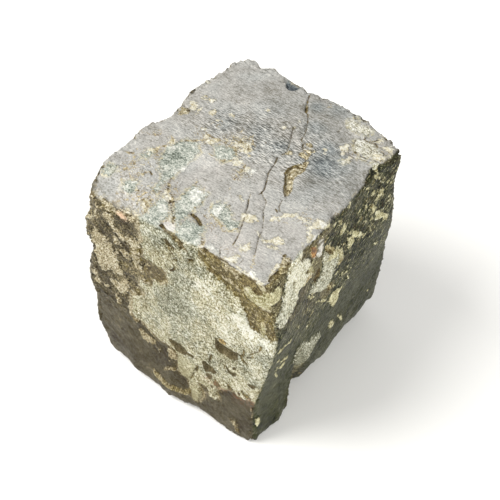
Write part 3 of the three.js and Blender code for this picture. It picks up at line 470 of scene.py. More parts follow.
# right face, (y, z)
R_PALE = [
    [(-19.2, 58), (-17.4, 61), (-15, 60.6), (-14.2, 58.6), (-15.2, 56.4), (-12.4, 55.8), (-11.2, 54), (-10.4, 51.6), (-9.8, 49), (-10, 47.2), (-12.4, 47.4), (-14.6, 46.4), (-14.3, 44), (-15.6, 41.4), (-17.6, 39.6), (-19.4, 38.2), (-21.2, 39.2), (-22.4, 41.8), (-22.2, 44.2), (-20.3, 45.8), (-20.6, 49), (-20.4, 53), (-19.6, 55)],
    [(-5.6, 50.6), (-4.6, 51), (-3, 49), (-1.6, 47.6), (0, 46.8), (1.4, 44.8), (1.8, 42), (1.2, 39.4), (-0.4, 36.6), (-2, 35.4), (-4.2, 35.8), (-6.4, 38), (-9.2, 40), (-9.4, 42.6), (-7.6, 42.4), (-5.1, 42.2), (-4.9, 46)],
    [(-13, 19.5), (-12, 21.5), (-9.5, 22), (-7.8, 20), (-7, 18.8), (-2.5, 18.8), (-1.5, 17.5), (-2, 15), (-4, 14), (-6, 12), (-8.8, 11), (-10, 12), (-11.5, 14), (-12.5, 16), (-13.5, 17)],
    [(-29.4, 36), (-24, 36.2), (-21.6, 35), (-21.2, 33), (-23, 31), (-25, 29.6), (-26.2, 27.6), (-29.4, 26)],
]
R_CREAM = [
    [(-31, 60), (-28.2, 58.6), (-26, 56.2), (-23, 55.4), (-21.4, 53.8), (-21.6, 50.8), (-22.6, 50.0), (-24.6, 50.8), (-26.4, 53.2), (-31, 57)],
    [(-27.6, 61.2), (-26.2, 61.4), (-25.6, 60), (-26.8, 59.4)],
    [(-8.6, 61.8), (-6.4, 61.8), (-5, 59.8), (-4.6, 58.9), (-6.2, 59.1), (-7.6, 60.4)],
    [(-22.2, 61.6), (-21.2, 61.4), (-20.6, 59), (-21.4, 58.8)],
    [(5.2, 46), (7.5, 46.7), (9, 46), (10, 44.6), (12.7, 42.4), (12.4, 41.3), (10.5, 42), (9.6, 43.4), (8.4, 44), (8.2, 42), (6.4, 41.6), (5.8, 43.6)],
    [(0, 29), (2, 29.4), (5.6, 28.6), (6, 27.4), (5, 25.4), (4.8, 23), (3.4, 22.8), (2.6, 24), (1.4, 26.6)],
    [(-18.6, 22), (-17.4, 22), (-17.2, 20.6), (-18.4, 20.6)],
    [(-27.6, 9), (-26.4, 9.2), (-25.4, 6.4), (-26.6, 5.6), (-27.5, 6.8)],
    [(2.7, 16.8), (4.3, 16.8), (4.9, 14), (3.6, 13.2), (2.8, 14.6)],
    [(14.2, 49), (15.4, 49.3), (17.6, 46.3), (16, 46)],
    [(15.8, 51), (17, 52.1), (19.4, 51.2), (19.2, 50), (17.4, 49.5)],
    [(17.8, 44.8), (19.2, 44.3), (22.6, 40.6), (24.9, 37.5), (24.2, 36.8), (21, 39.8), (18.5, 41.3)],
    [(12.8, 64), (14.2, 64), (15.8, 60), (15.4, 58.2), (14.3, 58.4), (13.6, 61)],
    [(13.6, 54.7), (14.6, 54.6), (15.1, 53), (14, 52.9)],
    [(18.2, 64), (19.8, 64), (20.4, 61), (19.6, 59.4), (18.8, 61)],
    [(-11, 52.6), (-9.6, 52), (-9.4, 48.4), (-11.4, 48.6)],
    [(1.2, 46), (2.6, 45.4), (4.2, 41), (3.4, 39.8), (1.6, 40.4), (2, 43)],
    [(-4, 47), (-2, 48), (0.6, 47.2), (1.4, 45), (-1.4, 45.4)],
    [(-14, 47), (-12, 48.6), (-10.6, 50.8), (-10.2, 48.2), (-12, 47)],
    [(1.6, 53), (2.6, 53.6), (3.5, 51.2), (2.8, 50.2), (1.8, 51)],
]
R_CREAM_LINES = [
    ([(-20, 29.2), (-17.6, 29), (-15.2, 28.8)], 0.26), ([(-19.8, 25.5), (-18.6, 23.8), (-16.4, 23.2)], 0.3),
    ([(-20.9, 22), (-20.4, 20.4), (-19.7, 19.2)], 0.26), ([(-29.6, 20), (-29.3, 15), (-29, 11)], 0.22),
    ([(0.4, 56.4), (0.8, 55)], 0.36), ([(3.9, 59.8), (3.8, 57.8)], 0.26), ([(10.8, 58.2), (11.5, 57.6)], 0.2), ([(11.8, 51.8), (12.3, 51)], 0.3),
    ([(15.4, 58.2), (16.3, 57.2)], 0.24), ([(22.9, 46.8), (23.3, 45.8)], 0.3), ([(23.8, 44.4), (24.3, 43.4)], 0.26), ([(14.2, 42.8), (14.8, 42)], 0.24),
    ([(15.4, 42), (15.8, 40.8)], 0.26), ([(16.6, 42), (16.9, 41.2)], 0.18), ([(16.2, 39.6), (16.9, 38.8)], 0.26), ([(17.6, 40.6), (18, 39.8)], 0.2),
    ([(5.4, 32.8), (7.2, 32.6), (9.4, 31.8)], 0.22), ([(8.2, 29.6), (8.8, 28.8)], 0.34), ([(6.8, 15.6), (8.2, 13.6), (9, 11.6)], 0.4),
    ([(-9.4, 39.2), (-8.2, 37.6), (-6.4, 36.4)], 0.24), ([(4.2, 50), (5.4, 48.4), (6.2, 47.2)], 0.26),
    ([(-0.6, 33.4), (1.4, 32.4), (3.6, 31.8)], 0.2), ([(-5, 33.2), (-3.2, 31.4), (-1.4, 30)], 0.34), ([(19.8, 32), (20.8, 30.8)], 0.14), ([(17.4, 55.2), (18.6, 54.4)], 0.12), ([(21.8, 51.4), (23, 50.6)], 0.16),
]
R_GOLD = [
    [(-5.4, 53), (-4, 52.4), (-1.6, 49.6), (-0.4, 48), (-1.6, 47.4), (-3.4, 48.8), (-5, 50.8)],
    [(-2, 36.4), (0.6, 34.6), (1, 32.6), (-0.6, 32.6), (-2, 34.4)],
    [(2.2, 42), (3.9, 40.2), (3.4, 39.4), (1.8, 40.6)],
]
R_GLOW = [([(-11.4, 56.8), (-10.8, 54.6), (-9.4, 53.2)], 0.22), ([(-9.2, 56.6), (-8.4, 54.2)], 0.2)]
R_GOLD_LINES = [([(-26, 60.4), (-22, 59.2), (-18.6, 59.6)], 0.3), ([(-22.4, 64), (-21.6, 60), (-20.9, 58)], 0.4)]
R_BAND = [[(-31, 62), (-27, 62), (-23, 60.6), (-18, 61.6), (-17.4, 60), (-19, 57.6), (-20.4, 54), (-20.6, 50), (-21.4, 46), (-22.6, 42), (-22, 39), (-24, 37.6), (-27, 42), (-31, 47)],
          [(-16, 58.2), (-14, 59.4), (-9, 58.8), (-3, 58.6), (-2.6, 56.4), (-5, 55), (-5.4, 52.4), (-5.6, 48.6), (-5, 46.4), (-5.2, 42.6), (-7.6, 42.2), (-8.2, 44), (-9.5, 45.6), (-9.8, 48.6), (-10.2, 52), (-11.8, 55.6), (-15.6, 56)], [(-4, 35.4), (-1, 35.8), (1.6, 34.4), (2.6, 32), (0.4, 30.2), (-2.6, 31.4), (-4.6, 33.4)], [(-4, 49.4), (-2, 49.6), (-0.4, 48), (-2, 47), (-3.8, 47.8)]]
R_ROSE = [((-11.5, 48), 1.5, 0.45), ((-20.6, 39), 1.2, 0.4)]
R_RUST = [[(-11.2, 57.6), (-10.3, 57.3), (-9.1, 55.8), (-8.5, 53.7), (-9, 52.9), (-10.4, 53.4), (-10.9, 55)]]
R_WHITE = [
    [(-7.8, 54.3), (-7.3, 55), (-6.4, 54.9), (-5.9, 53.8), (-5.8, 52.6), (-6.4, 51.7), (-7, 52.6), (-7.3, 53.5)],
    [(-9.6, 53), (-8.7, 53.3), (-7.6, 52.7), (-6.7, 51.8), (-6.1, 50.8), (-7, 51.2), (-8.3, 52.1)],
    [(-8.2, 56.3), (-7.4, 56.7), (-6.6, 56.3), (-6.2, 55.5), (-7.1, 55.6)],
    [(-11.6, 61.2), (-9.2, 61.4), (-8.4, 59.6), (-11.4, 59)],
]
R_DARK = [   # outline, depth
    ([(-7.7, 45.8), (-6.6, 46.2), (-5.4, 45.6), (-5.2, 42.4), (-7.6, 42.3), (-8.2, 43.6)], 0.45),
    ([(-17.5, 51.8), (-16.7, 51.7), (-16.4, 50.8), (-17.2, 50.7)], 0.6),
    ([(8, 43.6), (9, 43.5), (8.9, 42.6), (8.1, 42.5)], 0.4),
    ([(-13, 50.6), (-12.2, 51.4), (-11.2, 50.8), (-11.8, 49.8)], 0.25),
]


def inside(poly, u, v, reach=2.5):
    """Distance inside an outline in millimetres, below zero outside it, not below -reach."""
    q = np.array(poly, float)
    out = np.full(len(u), -reach)
    m = (u > q[:, 0].min() - reach) & (u < q[:, 0].max() + reach) & (v > q[:, 1].min() - reach) & (v < q[:, 1].max() + reach)
    if not m.any():
        return out
    a, b = u[m], v[m]
    d = np.full(len(a), 1e9)
    odd = np.zeros(len(a), bool)
    for (x0, y0), (x1, y1) in zip(q, np.roll(q, -1, 0)):
        ex, ey = x1 - x0, y1 - y0
        t = np.clip(((a - x0) * ex + (b - y0) * ey) / (ex * ex + ey * ey + 1e-12), 0, 1)
        d = np.minimum(d, (a - x0 - t * ex) ** 2 + (b - y0 - t * ey) ** 2)
        if y0 != y1:
            odd ^= ((y0 > b) != (y1 > b)) & (a < (x1 - x0) * (b - y0) / (y1 - y0) + x0)
    d = np.sqrt(d)
    out[m] = np.clip(np.where(odd, d, -d), -reach, reach)
    return out


def line(pts, u, v, reach=2.5):
    """Distance to a line, and on which side of it (+1 left)."""
    q = np.array(pts, float)
    out, side = np.full(len(u), reach), np.zeros(len(u))
    m = (u > q[:, 0].min() - reach) & (u < q[:, 0].max() + reach) & (v > q[:, 1].min() - reach) & (v < q[:, 1].max() + reach)
    if not m.any():
        return out, side
    a, b = u[m], v[m]
    d, s = np.full(len(a), 1e9), np.zeros(len(a))
    for (x0, y0), (x1, y1) in zip(q[:-1], q[1:]):
        ex, ey = x1 - x0, y1 - y0
        t = np.clip(((a - x0) * ex + (b - y0) * ey) / (ex * ex + ey * ey + 1e-12), 0, 1)
        e = (a - x0 - t * ex) ** 2 + (b - y0 - t * ey) ** 2
        c = np.sign(ex * (b - y0) - ey * (a - x0))
        s = np.where(e < d, c, s)
        d = np.minimum(d, e)
    out[m] = np.minimum(np.sqrt(d), reach)
    side[m] = s
    return out, side


def many(polys, u, v):
    out = np.full(len(u), -2.5)
    for q in polys:
        out = np.maximum(out, inside(q, u, v))
    return out


def strokes(lines, u, v):
    out = np.full(len(u), -2.5)
    for pts, w in lines:
        out = np.maximum(out, w - line(pts, u, v)[0])
    return out


def spots(blobs, u, v):
    out = np.zeros(len(u))
    for (a, b), r, k in blobs:
        out = np.maximum(out, k * np.exp(-((u - a) ** 2 + (v - b) ** 2) / (0.8 * r * r)))
    return out

# short bright flecks on the right face, thicker towards its upper right, all along one slant
rng = np.random.RandomState(41)
R_FLECKS = []
while len(R_FLECKS) < 84:
    fy, fz = rng.uniform(-26, 26), rng.uniform(10, 62)
    dens = 0.06 + 0.9 * math.exp(-(((fy - 13) / 12) ** 2 + ((fz - 51) / 11) ** 2)) + 0.5 * math.exp(-(((fy + 6) / 7) ** 2 + ((fz - 52) / 7) ** 2)) + 0.25 * math.exp(-(((fy + 12) / 8) ** 2 + ((fz - 33) / 6) ** 2))
    if rng.rand() > dens:
        continue
    ln, an = rng.uniform(0.2, 0.75), math.radians(rng.normal(40, 14))
    R_FLECKS.append(([(fy - ln * math.cos(an), fz - ln * math.sin(an)), (fy + ln * math.cos(an), fz + ln * math.sin(an))], rng.uniform(0.09, 0.22), rng.rand() < 0.35))

CH = ("crust", "cream", "gold", "white", "rust", "dark", "vein")     # outlines, as distance inside them
SC = ("top", "blue", "light", "speck", "grey", "warm", "painted_highlight", "pit", "wear", "front", "right", "frag", "hatch", "band", "rose", "calm")  # plain 0..1 fields


def seen_at(p, ax, plane):
    """Where the line of sight through p meets a face plane."""
    t = (plane - EYE[ax]) / (p[:, ax] - EYE[ax])
    return [EYE[k] + (p[:, k] - EYE[k]) * t for k in range(3) if k != ax]


def relief(P, N, D, rimd):
    """Offset along D in millimetres and the fields of the markings at surface points P. rimd is the distance to the nearest rim."""
    n = len(P)
    out = {c: np.full(n, -2.5) for c in CH}
    out.update({c: np.zeros(n) for c in SC})
    lo = 0.42, 0.82
    W = {"top": ss(*lo, N[:, 2]), "front": ss(*lo, -N[:, 1]), "right": ss(*lo, N[:, 0]), "left": ss(*lo, -N[:, 0]),
         "back": ss(*lo, N[:, 1]), "under": ss(*lo, -N[:, 2])}
    H = np.zeros(n)
    wob = 0.42 * fbm(P, 1.7, 101, 3)            # uneven outlines
    rag = 1.25 * fbm(P, 2.1, 151, 4, 0.62)      # strongly broken outlines
    crumb = fbm(P, 1.25, 161, 2)

    def put(name, idx, w, val):
        out[name][idx] = np.maximum(out[name][idx], val - 1.6 * (1 - w))

    # ---- top
    w = W["top"]; I = np.nonzero(w > 0.01)[0]; wi = w[I]; p = P[I]; wb = wob[I]; rg = rag[I]; cb = crumb[I]
    u, v = seen_at(p, 2, ZT)
    pale = many(T_PALE, u, v) + 0.7 * rg
    green = np.minimum(np.maximum(many(T_GREEN, u, v) + rg, pale), -many(T_BARE, u, v) - 0.6 * rg)
    cream = np.maximum(many(T_CREAM, u, v) + 0.8 * rg, strokes(T_CREAM_LINES, u, v) + 0.55 * rg)
    cream = np.maximum(cream, many(T_MOTT, u, v) - 0.55 + 2.0 * rg)
    gold = np.maximum(many(T_GOLD, u, v) + 0.9 * wb, strokes(T_LIPGOLD, u, v) + 0.6 * wb)
    white = many(T_WHITE, u, v) + 0.7 * rg
    vein = strokes(T_VEINS, u, v) + 0.45 * rg
    hatch = np.clip(0.95 * np.exp(-((u - 5) / 15) ** 2 - ((v - 9) / 10) ** 2) + 0.55 * np.exp(-((u + 10) / 9) ** 2 - ((v - 4) / 7) ** 2) + 0.12, 0, 1)
    front_zone = ss(-2, -12, v)
    mott = np.clip(spots(T_SPECK, u, v), 0, 1)
    h = 0.10 * fbm(p, 7.0, 11, 3) + 0.03 * cb
    grain = fbm(p, (3.2, 0.6, 2.0), 21, 2)
    h += hatch * (0.06 * grain + 0.05 * terrace(0.5 + 0.5 * fbm(p, (6, 1.3, 3), 23, 2), 4, 0.15))
    # broad low steps, coarser towards the front edge
    h += 0.18 * front_zone * terrace(fbm(p, (6, 4, 4), 27, 2), 3, 0.2) + 0.10 * mott * fbm(p, 1.3, 28, 2)
    dk = np.full(len(I), -2.5)
    for pts, hw, dep in T_CRACKS:
        d, s = line(pts, u, v)
        d = d + 0.28 * wb
        h -= 0.85 * dep * np.exp(-(np.maximum(d, 0) / (hw * 1.15)) ** 2)
        h += 0.06 * s * np.exp(-(d / 1.3) ** 2)
        dk = np.maximum(dk, 0.78 * hw - d)
    for pts, hw, dep in T_SLOTS:
        d = line(pts, u, v)[0] + 0.6 * wb
        h -= dep * ss(hw + 0.35, hw - 0.15, d)
        dk = np.maximum(dk, hw - d)
    for pts, hw, dep in T_BROWN:
        d = line(pts, u, v)[0] + 0.8 * wb
        h -= dep * ss(hw + 0.25, hw - 0.1, d)
        dk = np.maximum(dk, hw - d - 0.05)
    # ledge beside the bright pocket
    d, s = line(T_LEDGE, u, v)
    led = inside(T_GOLD[3], u, v) + 0.35 * wb
    h -= 0.65 * ss(-0.15, 0.35, led) * (1 - 0.65 * ss(0.6, 2.2, d))
    dk = np.maximum(dk, 0.20 - np.abs(d - 0.05) - 0.25 * wb)
    h += 0.12 * ss(-0.1, 0.3, cream) + 0.05 * ss(-0.2, 0.3, green) + 0.16 * ss(-0.1, 0.3, pale) + 0.22 * ss(-0.1, 0.4, gold) * fbm(p, 0.9, 31, 2)
    h += (0.10 * ss(-0.3, 0.2, green) + 0.10 * ss(-0.3, 0.2, cream)) * fbm(p, 0.8, 33, 2) + 0.12 * ss(-0.3, 0.2, pale) * fbm(p, (2.4, 0.6, 1), 34, 2)
    # chipped right rear corner
    rc = ss(9, 14, u + 0.5 * rg) * ss(13.5, 18, v)
    h += rc * (0.60 * terrace(fbm(p, (4.2, 2.2, 3), 35, 2) - 0.2, 3, 0.12) - 0.12 + 0.14 * cb)
    chip = inside(T_CHIP, u, v) + 0.4 * wb
    h -= 1.1 * ss(-0.2, 1.0, chip)
    # the right rim is broken down behind
    over = u - np.interp(v, [9, 11.5, 13, 15, 16.5, 18.4, 20, 24.5], [25.2, 23.6, 23.1, 22.5, 22.6, 24, 24.1, 24.4]) + 0.4 * wb
    past = ss(-0.15, 0.35, over) * ss(9.5, 12, v)
    h -= 0.9 * ss(-0.1, 1.8, over) * ss(9.5, 12, v)
    # notch on the left rim
    h -= 0.5 * np.exp(-((u + 23.6) ** 2 + (v - 2.8) ** 2) / 3.0)
    # broken lip along the front right of the top and round its corner
    lip = np.maximum(-27.0 - v - 0.7 * ss(15, 19, u) - 4 * ss(9.5, 6.5, u), u - 24.2 - 4 * ss(-19.5, -16.0, v)) + 0.6 * rg
    h -= 0.55 * ss(-0.1, 0.9, lip) + 0.12 * ss(0, 0.5, lip) * fbm(p, 1.0, 37, 2)
    dk = np.maximum(dk, strokes(T_LIPDARK, u, v) + 0.5 * wb)
    cream = np.maximum(cream, 0.34 - np.abs(lip + 0.55) + 0.85 * rg)
    H[I] += wi * h
    for c, val in (("crust", green), ("cream", cream), ("gold", gold), ("white", white), ("dark", dk), ("vein", vein)):
        put(c, I, wi, val)
    out["top"][:] = ss(0.40, 0.74, N[:, 2])
    out["top"][I] *= (1 - 0.85 * ss(-0.1, 0.5, lip)) * (1 - past)
    out["right"][I] = past * wi
    out["blue"][I] = np.maximum(spots(T_BLUE, u, v), 0.95 * ss(-0.2, 0.6, chip)) * wi
    # painted sheen and painted shade on the top; the chip is painted darker too
    out["light"][I] = (spots(T_PAINTED_LIGHT, u, v) - spots(T_DIM, u, v) - 1.05 * ss(-0.2, 0.6, chip)) * wi
    out["speck"][I] = np.maximum(mott, 0.9 * ss(-0.3, 0.3, lip)) * wi
    out["grey"][I] = wi
    out["warm"][I] = wi * np.maximum(ss(-0.6, 0.1, pale), spots([((-22, -22.4), 2.6, 0.55)], u, v))
    out["band"][I] = wi * ss(0.0, 0.4, lip)
    out["frag"][I] = wi
    out["hatch"][I] = wi * hatch

    # ---- front
    w = W["front"]; I = np.nonzero(w > 0.01)[0]; wi = w[I]; p = P[I]; wb = wob[I]; rg = rag[I]; cb = crumb[I]
    u, v = seen_at(p, 1, -HY)
    band = inside(F_BAND, u, v)
    thick = (0.55 + 0.45 * ss(-8, 22, u) + 0.35 * np.exp(-((u - 24) ** 2 + (v - 42) ** 2) / 60)) * (1 - 0.6 * ss(-2.4, -0.2, band))
    uc, vc = seen_at(p + thick[:, None] * D[I], 1, -HY)       # where the crust's outer skin is seen
    slant = np.stack([u * 0.88 - v * 0.47, u * 0.47 + v * 0.88, p[:, 1]], 1)     # first axis runs down to the right
    loose = np.clip(0.3 + ss(-4, -9, uc) * ss(60, 56, vc) + ss(20, 15, vc) * (0.25 + 0.6 * ss(9, 13, uc)), 0, 1)
    crust = many(F_CRUST, uc, vc) + wb * (1 - loose) + 0.9 * rg * loose
    froth = spots(F_FROTH, u, v)
    tan = np.maximum(many(F_TAN, u, v) + 0.95 * rg, strokes(F_TAN_LINES, u, v) + 0.6 * rg)
    slf = np.stack([u * 0.64 + v * 0.77, -u * 0.77 + v * 0.64, p[:, 1]], 1)        # first axis rises to the right
    tan = np.maximum(tan, 2.2 * (froth - 0.62) + 2.2 * fbm(slf, (2.0, 1.0, 1.3), 55, 3, 0.6))
    block = many(F_BLOCK, uc, vc) + 0.4 * rg
    crust = np.minimum(crust, -block)
    cut = many(F_CUT, u, v) + 0.32 * rg + 0.6 * wb
    tan = np.maximum(np.minimum(tan, -np.maximum(cut, block - 0.3)), inside(F_VEE, u, v) + 0.5 * rg)
    crust = np.minimum(crust, -cut - 0.1)
    on = ss(-0.18, 0.42, crust)
    h = 0.16 * fbm(p, 6.0, 41, 3)
    h += on * (thick * (1 - 0.55 * ss(-4, -10, uc)) + 0.20 * fbm(p, 4.2, 43, 2) + 0.13 * fbm(slant, (1.5, 0.8, 0.9), 44, 2))
    bare = 1 - on
    left = ss(-5, -10, u) * ss(14, 24, v)
    blocks = terrace(0.5 + 0.5 * fbm(slant, (4.2, 2.0, 2.6), 46, 2), 4, 0.10)
    h += bare * left * (1.25 * (blocks - 0.5) - 0.2 + 0.34 * fbm(slant, (1.7, 0.9, 1.2), 45, 2))
    h += ss(-0.15, 0.25, tan) * (0.40 + 0.22 * fbm(p, 1.3, 47, 2)) + 0.30 * froth * bare * fbm(slf, (1.8, 0.8, 1.0), 56, 2)
    h += bare * (1 - left) * (0.24 * terrace(fbm(slant, (5, 1.6, 2), 48, 3), 3, 0.2) + 0.07 * fbm(slant, (2.4, 0.5, 1), 49, 2))
    band = band + 0.4 * rg
    h -= 0.15 * ss(-0.1, 0.6, band) * bare
    sl2 = np.stack([u * 0.86 - v * 0.51, u * 0.51 + v * 0.86, p[:, 1]], 1)
    h += ss(-0.2, 0.5, band) * bare * (0.20 * fbm(sl2, (3.0, 0.7, 1), 51, 2) + 0.05 * cb)
    crumbs = many(F_CRUMBS, u, v) + 0.6 * rg
    h += ss(-0.1, 0.4, crumbs) * (0.5 * fbm(p, 1.0, 57, 2) - 0.15)
    gr = many(F_GROOVE, u, v) + 0.5 * rg
    h -= 0.35 * ss(-0.2, 0.7, gr)
    dk = np.maximum(np.minimum(gr, 0.35 + 0.5 * fbm(p, 1.1, 52, 2)), np.minimum(crumbs, 0.05 + 0.8 * fbm(p, 0.9, 57, 2)))
    pit = np.zeros(len(I))
    for q, dep in F_PITS:
        d = inside(q, uc, vc) + 0.35 * wb + 0.12 * rg
        k = ss(-0.05, 0.55, d)
        h -= k * (dep + 0.35 * fbm(p, 1.3, 53, 2))
        pit = np.maximum(pit, ss(-0.2, 0.15, d))
    for pts, hw, dep in F_LINES:
        d = line(pts, uc, vc)[0] + 0.7 * wb
        h -= dep * ss(hw + 0.3, hw - 0.15, d)
        dk = np.maximum(dk, hw - d)
    tan = np.maximum(tan, strokes(F_SMEAR, u, v) - 0.15 + 1.2 * rg)
    gl = strokes(F_GOLD_LINES, u, v) + 0.5 * wb
    h += 0.8 * ss(-0.9, 0.4, gl)
    lipg = many(F_PITRIM, uc, vc) + 0.5 * wb
    H[I] += wi * h
    for c, val in (("crust", crust), ("cream", np.where(crust > 0.3, -2.5, tan)), ("dark", dk), ("rust", lipg - 0.1)):
        put(c, I, wi, val)
    out["pit"][I] = np.maximum(out["pit"][I], pit * wi)
    out["grey"][I] = np.maximum(out["grey"][I] * (1 - wi), spots(F_GREY, uc, vc) * wi)
    out["warm"][I] = np.maximum(spots(F_WARM, uc, vc) * wi, 0.75 * ss(0, 0.4, gl) * wi)
    out["gold"][I] = np.maximum(out["gold"][I], gl * 0.6 - 0.12 - 1.6 * (1 - wi))
    # painted highlights on the front's crust and tan skins
    out["painted_highlight"][I] = spots(F_PAINTED_HIGHLIGHT, uc, vc) * wi * np.maximum(on, ss(-0.4, 0.2, tan))
    out["band"][I] = np.maximum(out["band"][I] * (1 - wi), wi * np.clip(ss(-0.3, 0.3, band) + 0.85 * ss(0.25, 0.8, froth + 0.25 * fbm(p, 2.4, 58, 2)) + ss(-0.5, 0.0, block) + 0.9 * spots(F_OLIVE, u, v) * (1 - on) + 0.8 * ss(-1.2, -0.2, gl) + 0.6 * ss(-1.6, -0.2, lipg), 0, 1))
    out["rose"][I] = spots(F_ROSE, u, v) * wi
    out["blue"][I] = np.maximum(out["blue"][I] * (1 - wi), wi * ss(-0.4, 0.4, block))     # darker
    # painted highlight on the upper right of the front
    out["light"][I] = np.maximum(out["light"][I] * (1 - wi), wi * spots([((24, 50), 3.6, 1.0), ((25.5, 46), 2, 0.8)], u, v))
    out["calm"][I] = wi * np.maximum(ss(26, 17, v) * ss(0.2, -0.4, crust), spots([((6.8, 4.6), 3.8, 0.9), ((4, 11.8), 3.4, 0.75), ((2.4, 15.4), 3.2, 0.65), ((6, 16.6), 2.6, 0.45), ((0, 15), 2, 0.5)], u, v) * ss(-0.3, 0.2, crust))
    out["front"][I] = wi
    out["frag"][I] = np.maximum(out["frag"][I] * (1 - wi), wi * (0.15 + 0.75 * loose))
    out["speck"][I] = np.maximum(out["speck"][I] * (1 - 0.5 * wi), wi * np.clip(0.72 * ss(-0.5, 0.5, band) * bare + 0.5 * ss(18, 12, v) * ss(8, 16, u) * ss(9, 13, v) + 0.45 * left * bare, 0, 1))

    # ---- right
    w = W["right"]; I = np.nonzero(w > 0.01)[0]; wi = w[I]; p = P[I]; wb = wob[I]; rg = rag[I]; cb = crumb[I]
    u, v = seen_at(p + 0.3 * np.array([1, 0, 0]), 0, HX)
    slant = np.stack([u * 0.79 + v * 0.61, -u * 0.61 + v * 0.79, p[:, 0]], 1)   # first axis rises to the back
    pale = many(R_PALE, u, v) + 0.8 * rg
    cream = np.maximum(many(R_CREAM, u, v) + rg, strokes(R_CREAM_LINES, u, v) + 0.6 * rg)
    gold = np.maximum(many(R_GOLD, u, v) + 0.8 * rg, strokes(R_GOLD_LINES, u, v) + 0.5 * rg)
    gold = np.maximum(gold, strokes(R_GLOW, u, v) + 0.4 * rg)
    bandr = many(R_BAND, u, v) + 0.7 * rg
    for pts, hw, gld in R_FLECKS:
        d = hw - line(pts, u, v, 1.0)[0] + 0.25 * wb
        if gld:
            gold = np.maximum(gold, d)
        else:
            cream = np.maximum(cream, d)
    h = 0.18 * fbm(p, 6.5, 61, 3) + 0.20 * terrace(fbm(slant, (5.5, 1.5, 2), 62, 3), 3, 0.15) + 0.10 * fbm(slant, (2.6, 0.5, 1), 63, 2)
    rough = ss(30, 42, v) * ss(-14, 4, u)
    h += rough * (0.26 * fbm(slant, (2.2, 0.9, 1), 64, 2) + 0.10 * cb)
    h += ss(-0.15, 0.4, pale) * (0.50 + 0.18 * fbm(p, 1.2, 65, 2)) + 0.24 * ss(-0.15, 0.15, cream) + 0.15 * ss(-0.15, 0.15, gold)
    dk = np.full(len(I), -2.5)
    for q, dep in R_DARK:
        d = inside(q, u, v) + 0.8 * wb
        h -= dep * ss(-0.1, 0.6, d)
        dk = np.maximum(dk, d - 0.1)
    rust = many(R_RUST, u, v) + 0.4 * wb
    h += 0.35 * ss(-0.2, 0.5, rust)
    white = many(R_WHITE, u, v) + 0.25 * wb
    H[I] += wi * h
    for c, val in (("crust", pale), ("cream", cream), ("gold", gold), ("rust", rust), ("white", white), ("dark", dk)):
        put(c, I, wi, val)
    out["right"][I] = np.maximum(out["right"][I], wi)
    out["band"][I] = np.maximum(out["band"][I] * (1 - wi), wi * np.clip(ss(-0.4, 0.5, bandr) + 0.35 * ss(0.5, 0.9, spots([((-25, 33), 3, 1.0)], u, v)), 0, 1))
    out["rose"][I] = np.maximum(out["rose"][I] * (1 - wi), spots(R_ROSE, u, v) * wi)
    out["blue"][I] = np.maximum(out["blue"][I] * (1 - wi), spots([((-12.2, 43.4), 3.4, 1.0), ((-15.6, 38.8), 3.4, 0.8), ((-8.4, 50), 3, 0.8), ((-9, 35.6), 5, 0.5), ((-22, 47), 3, 0.6)], u, v) * wi)     # browner
    # painted highlights on the right face
    out["painted_highlight"][I] = np.maximum(out["painted_highlight"][I] * (1 - wi), spots([((-18.4, 42.6), 4, 0.3), ((-16, 52), 6, 0.12), ((-3, 40), 5, 0.16)], u, v) * wi)
    out["calm"][I] = np.maximum(out["calm"][I] * (1 - wi), wi * ss(30, 20, v))
    # greyer and darker lower down the right face: partly the patches' own tone, partly painted shade where the light
    # falls off towards the bottom
    out["grey"][I] = np.maximum(out["grey"][I] * (1 - wi), wi * np.clip(0.25 + 0.35 * np.exp(-((u + 3) ** 2 + (v - 41) ** 2) / 40) + 0.7 * ss(26, 18, v) + 0.45 * np.exp(-((u + 19.6) ** 2 + (v - 42) ** 2) / 14) + 0.3 * np.exp(-((u + 18.6) ** 2 + (v - 51) ** 2) / 10) - 0.35 * np.exp(-((u + 15) ** 2 + (v - 52) ** 2) / 80), 0, 1))
    out["warm"][I] = np.maximum(out["warm"][I] * (1 - wi), wi * 0.55 * np.exp(-((u + 14) ** 2 + (v - 54) ** 2) / 60))
    out["speck"][I] = np.maximum(out["speck"][I] * (1 - 0.5 * wi), wi * np.clip(0.95 * np.exp(-((u + 9) ** 2 + (v - 55) ** 2) / 22) + 0.55 * rough + 0.6 * np.exp(-((u + 24) ** 2 + (v - 55) ** 2) / 30), 0, 1))
    out["frag"][I] = np.maximum(out["frag"][I] * (1 - wi), wi * 0.6)

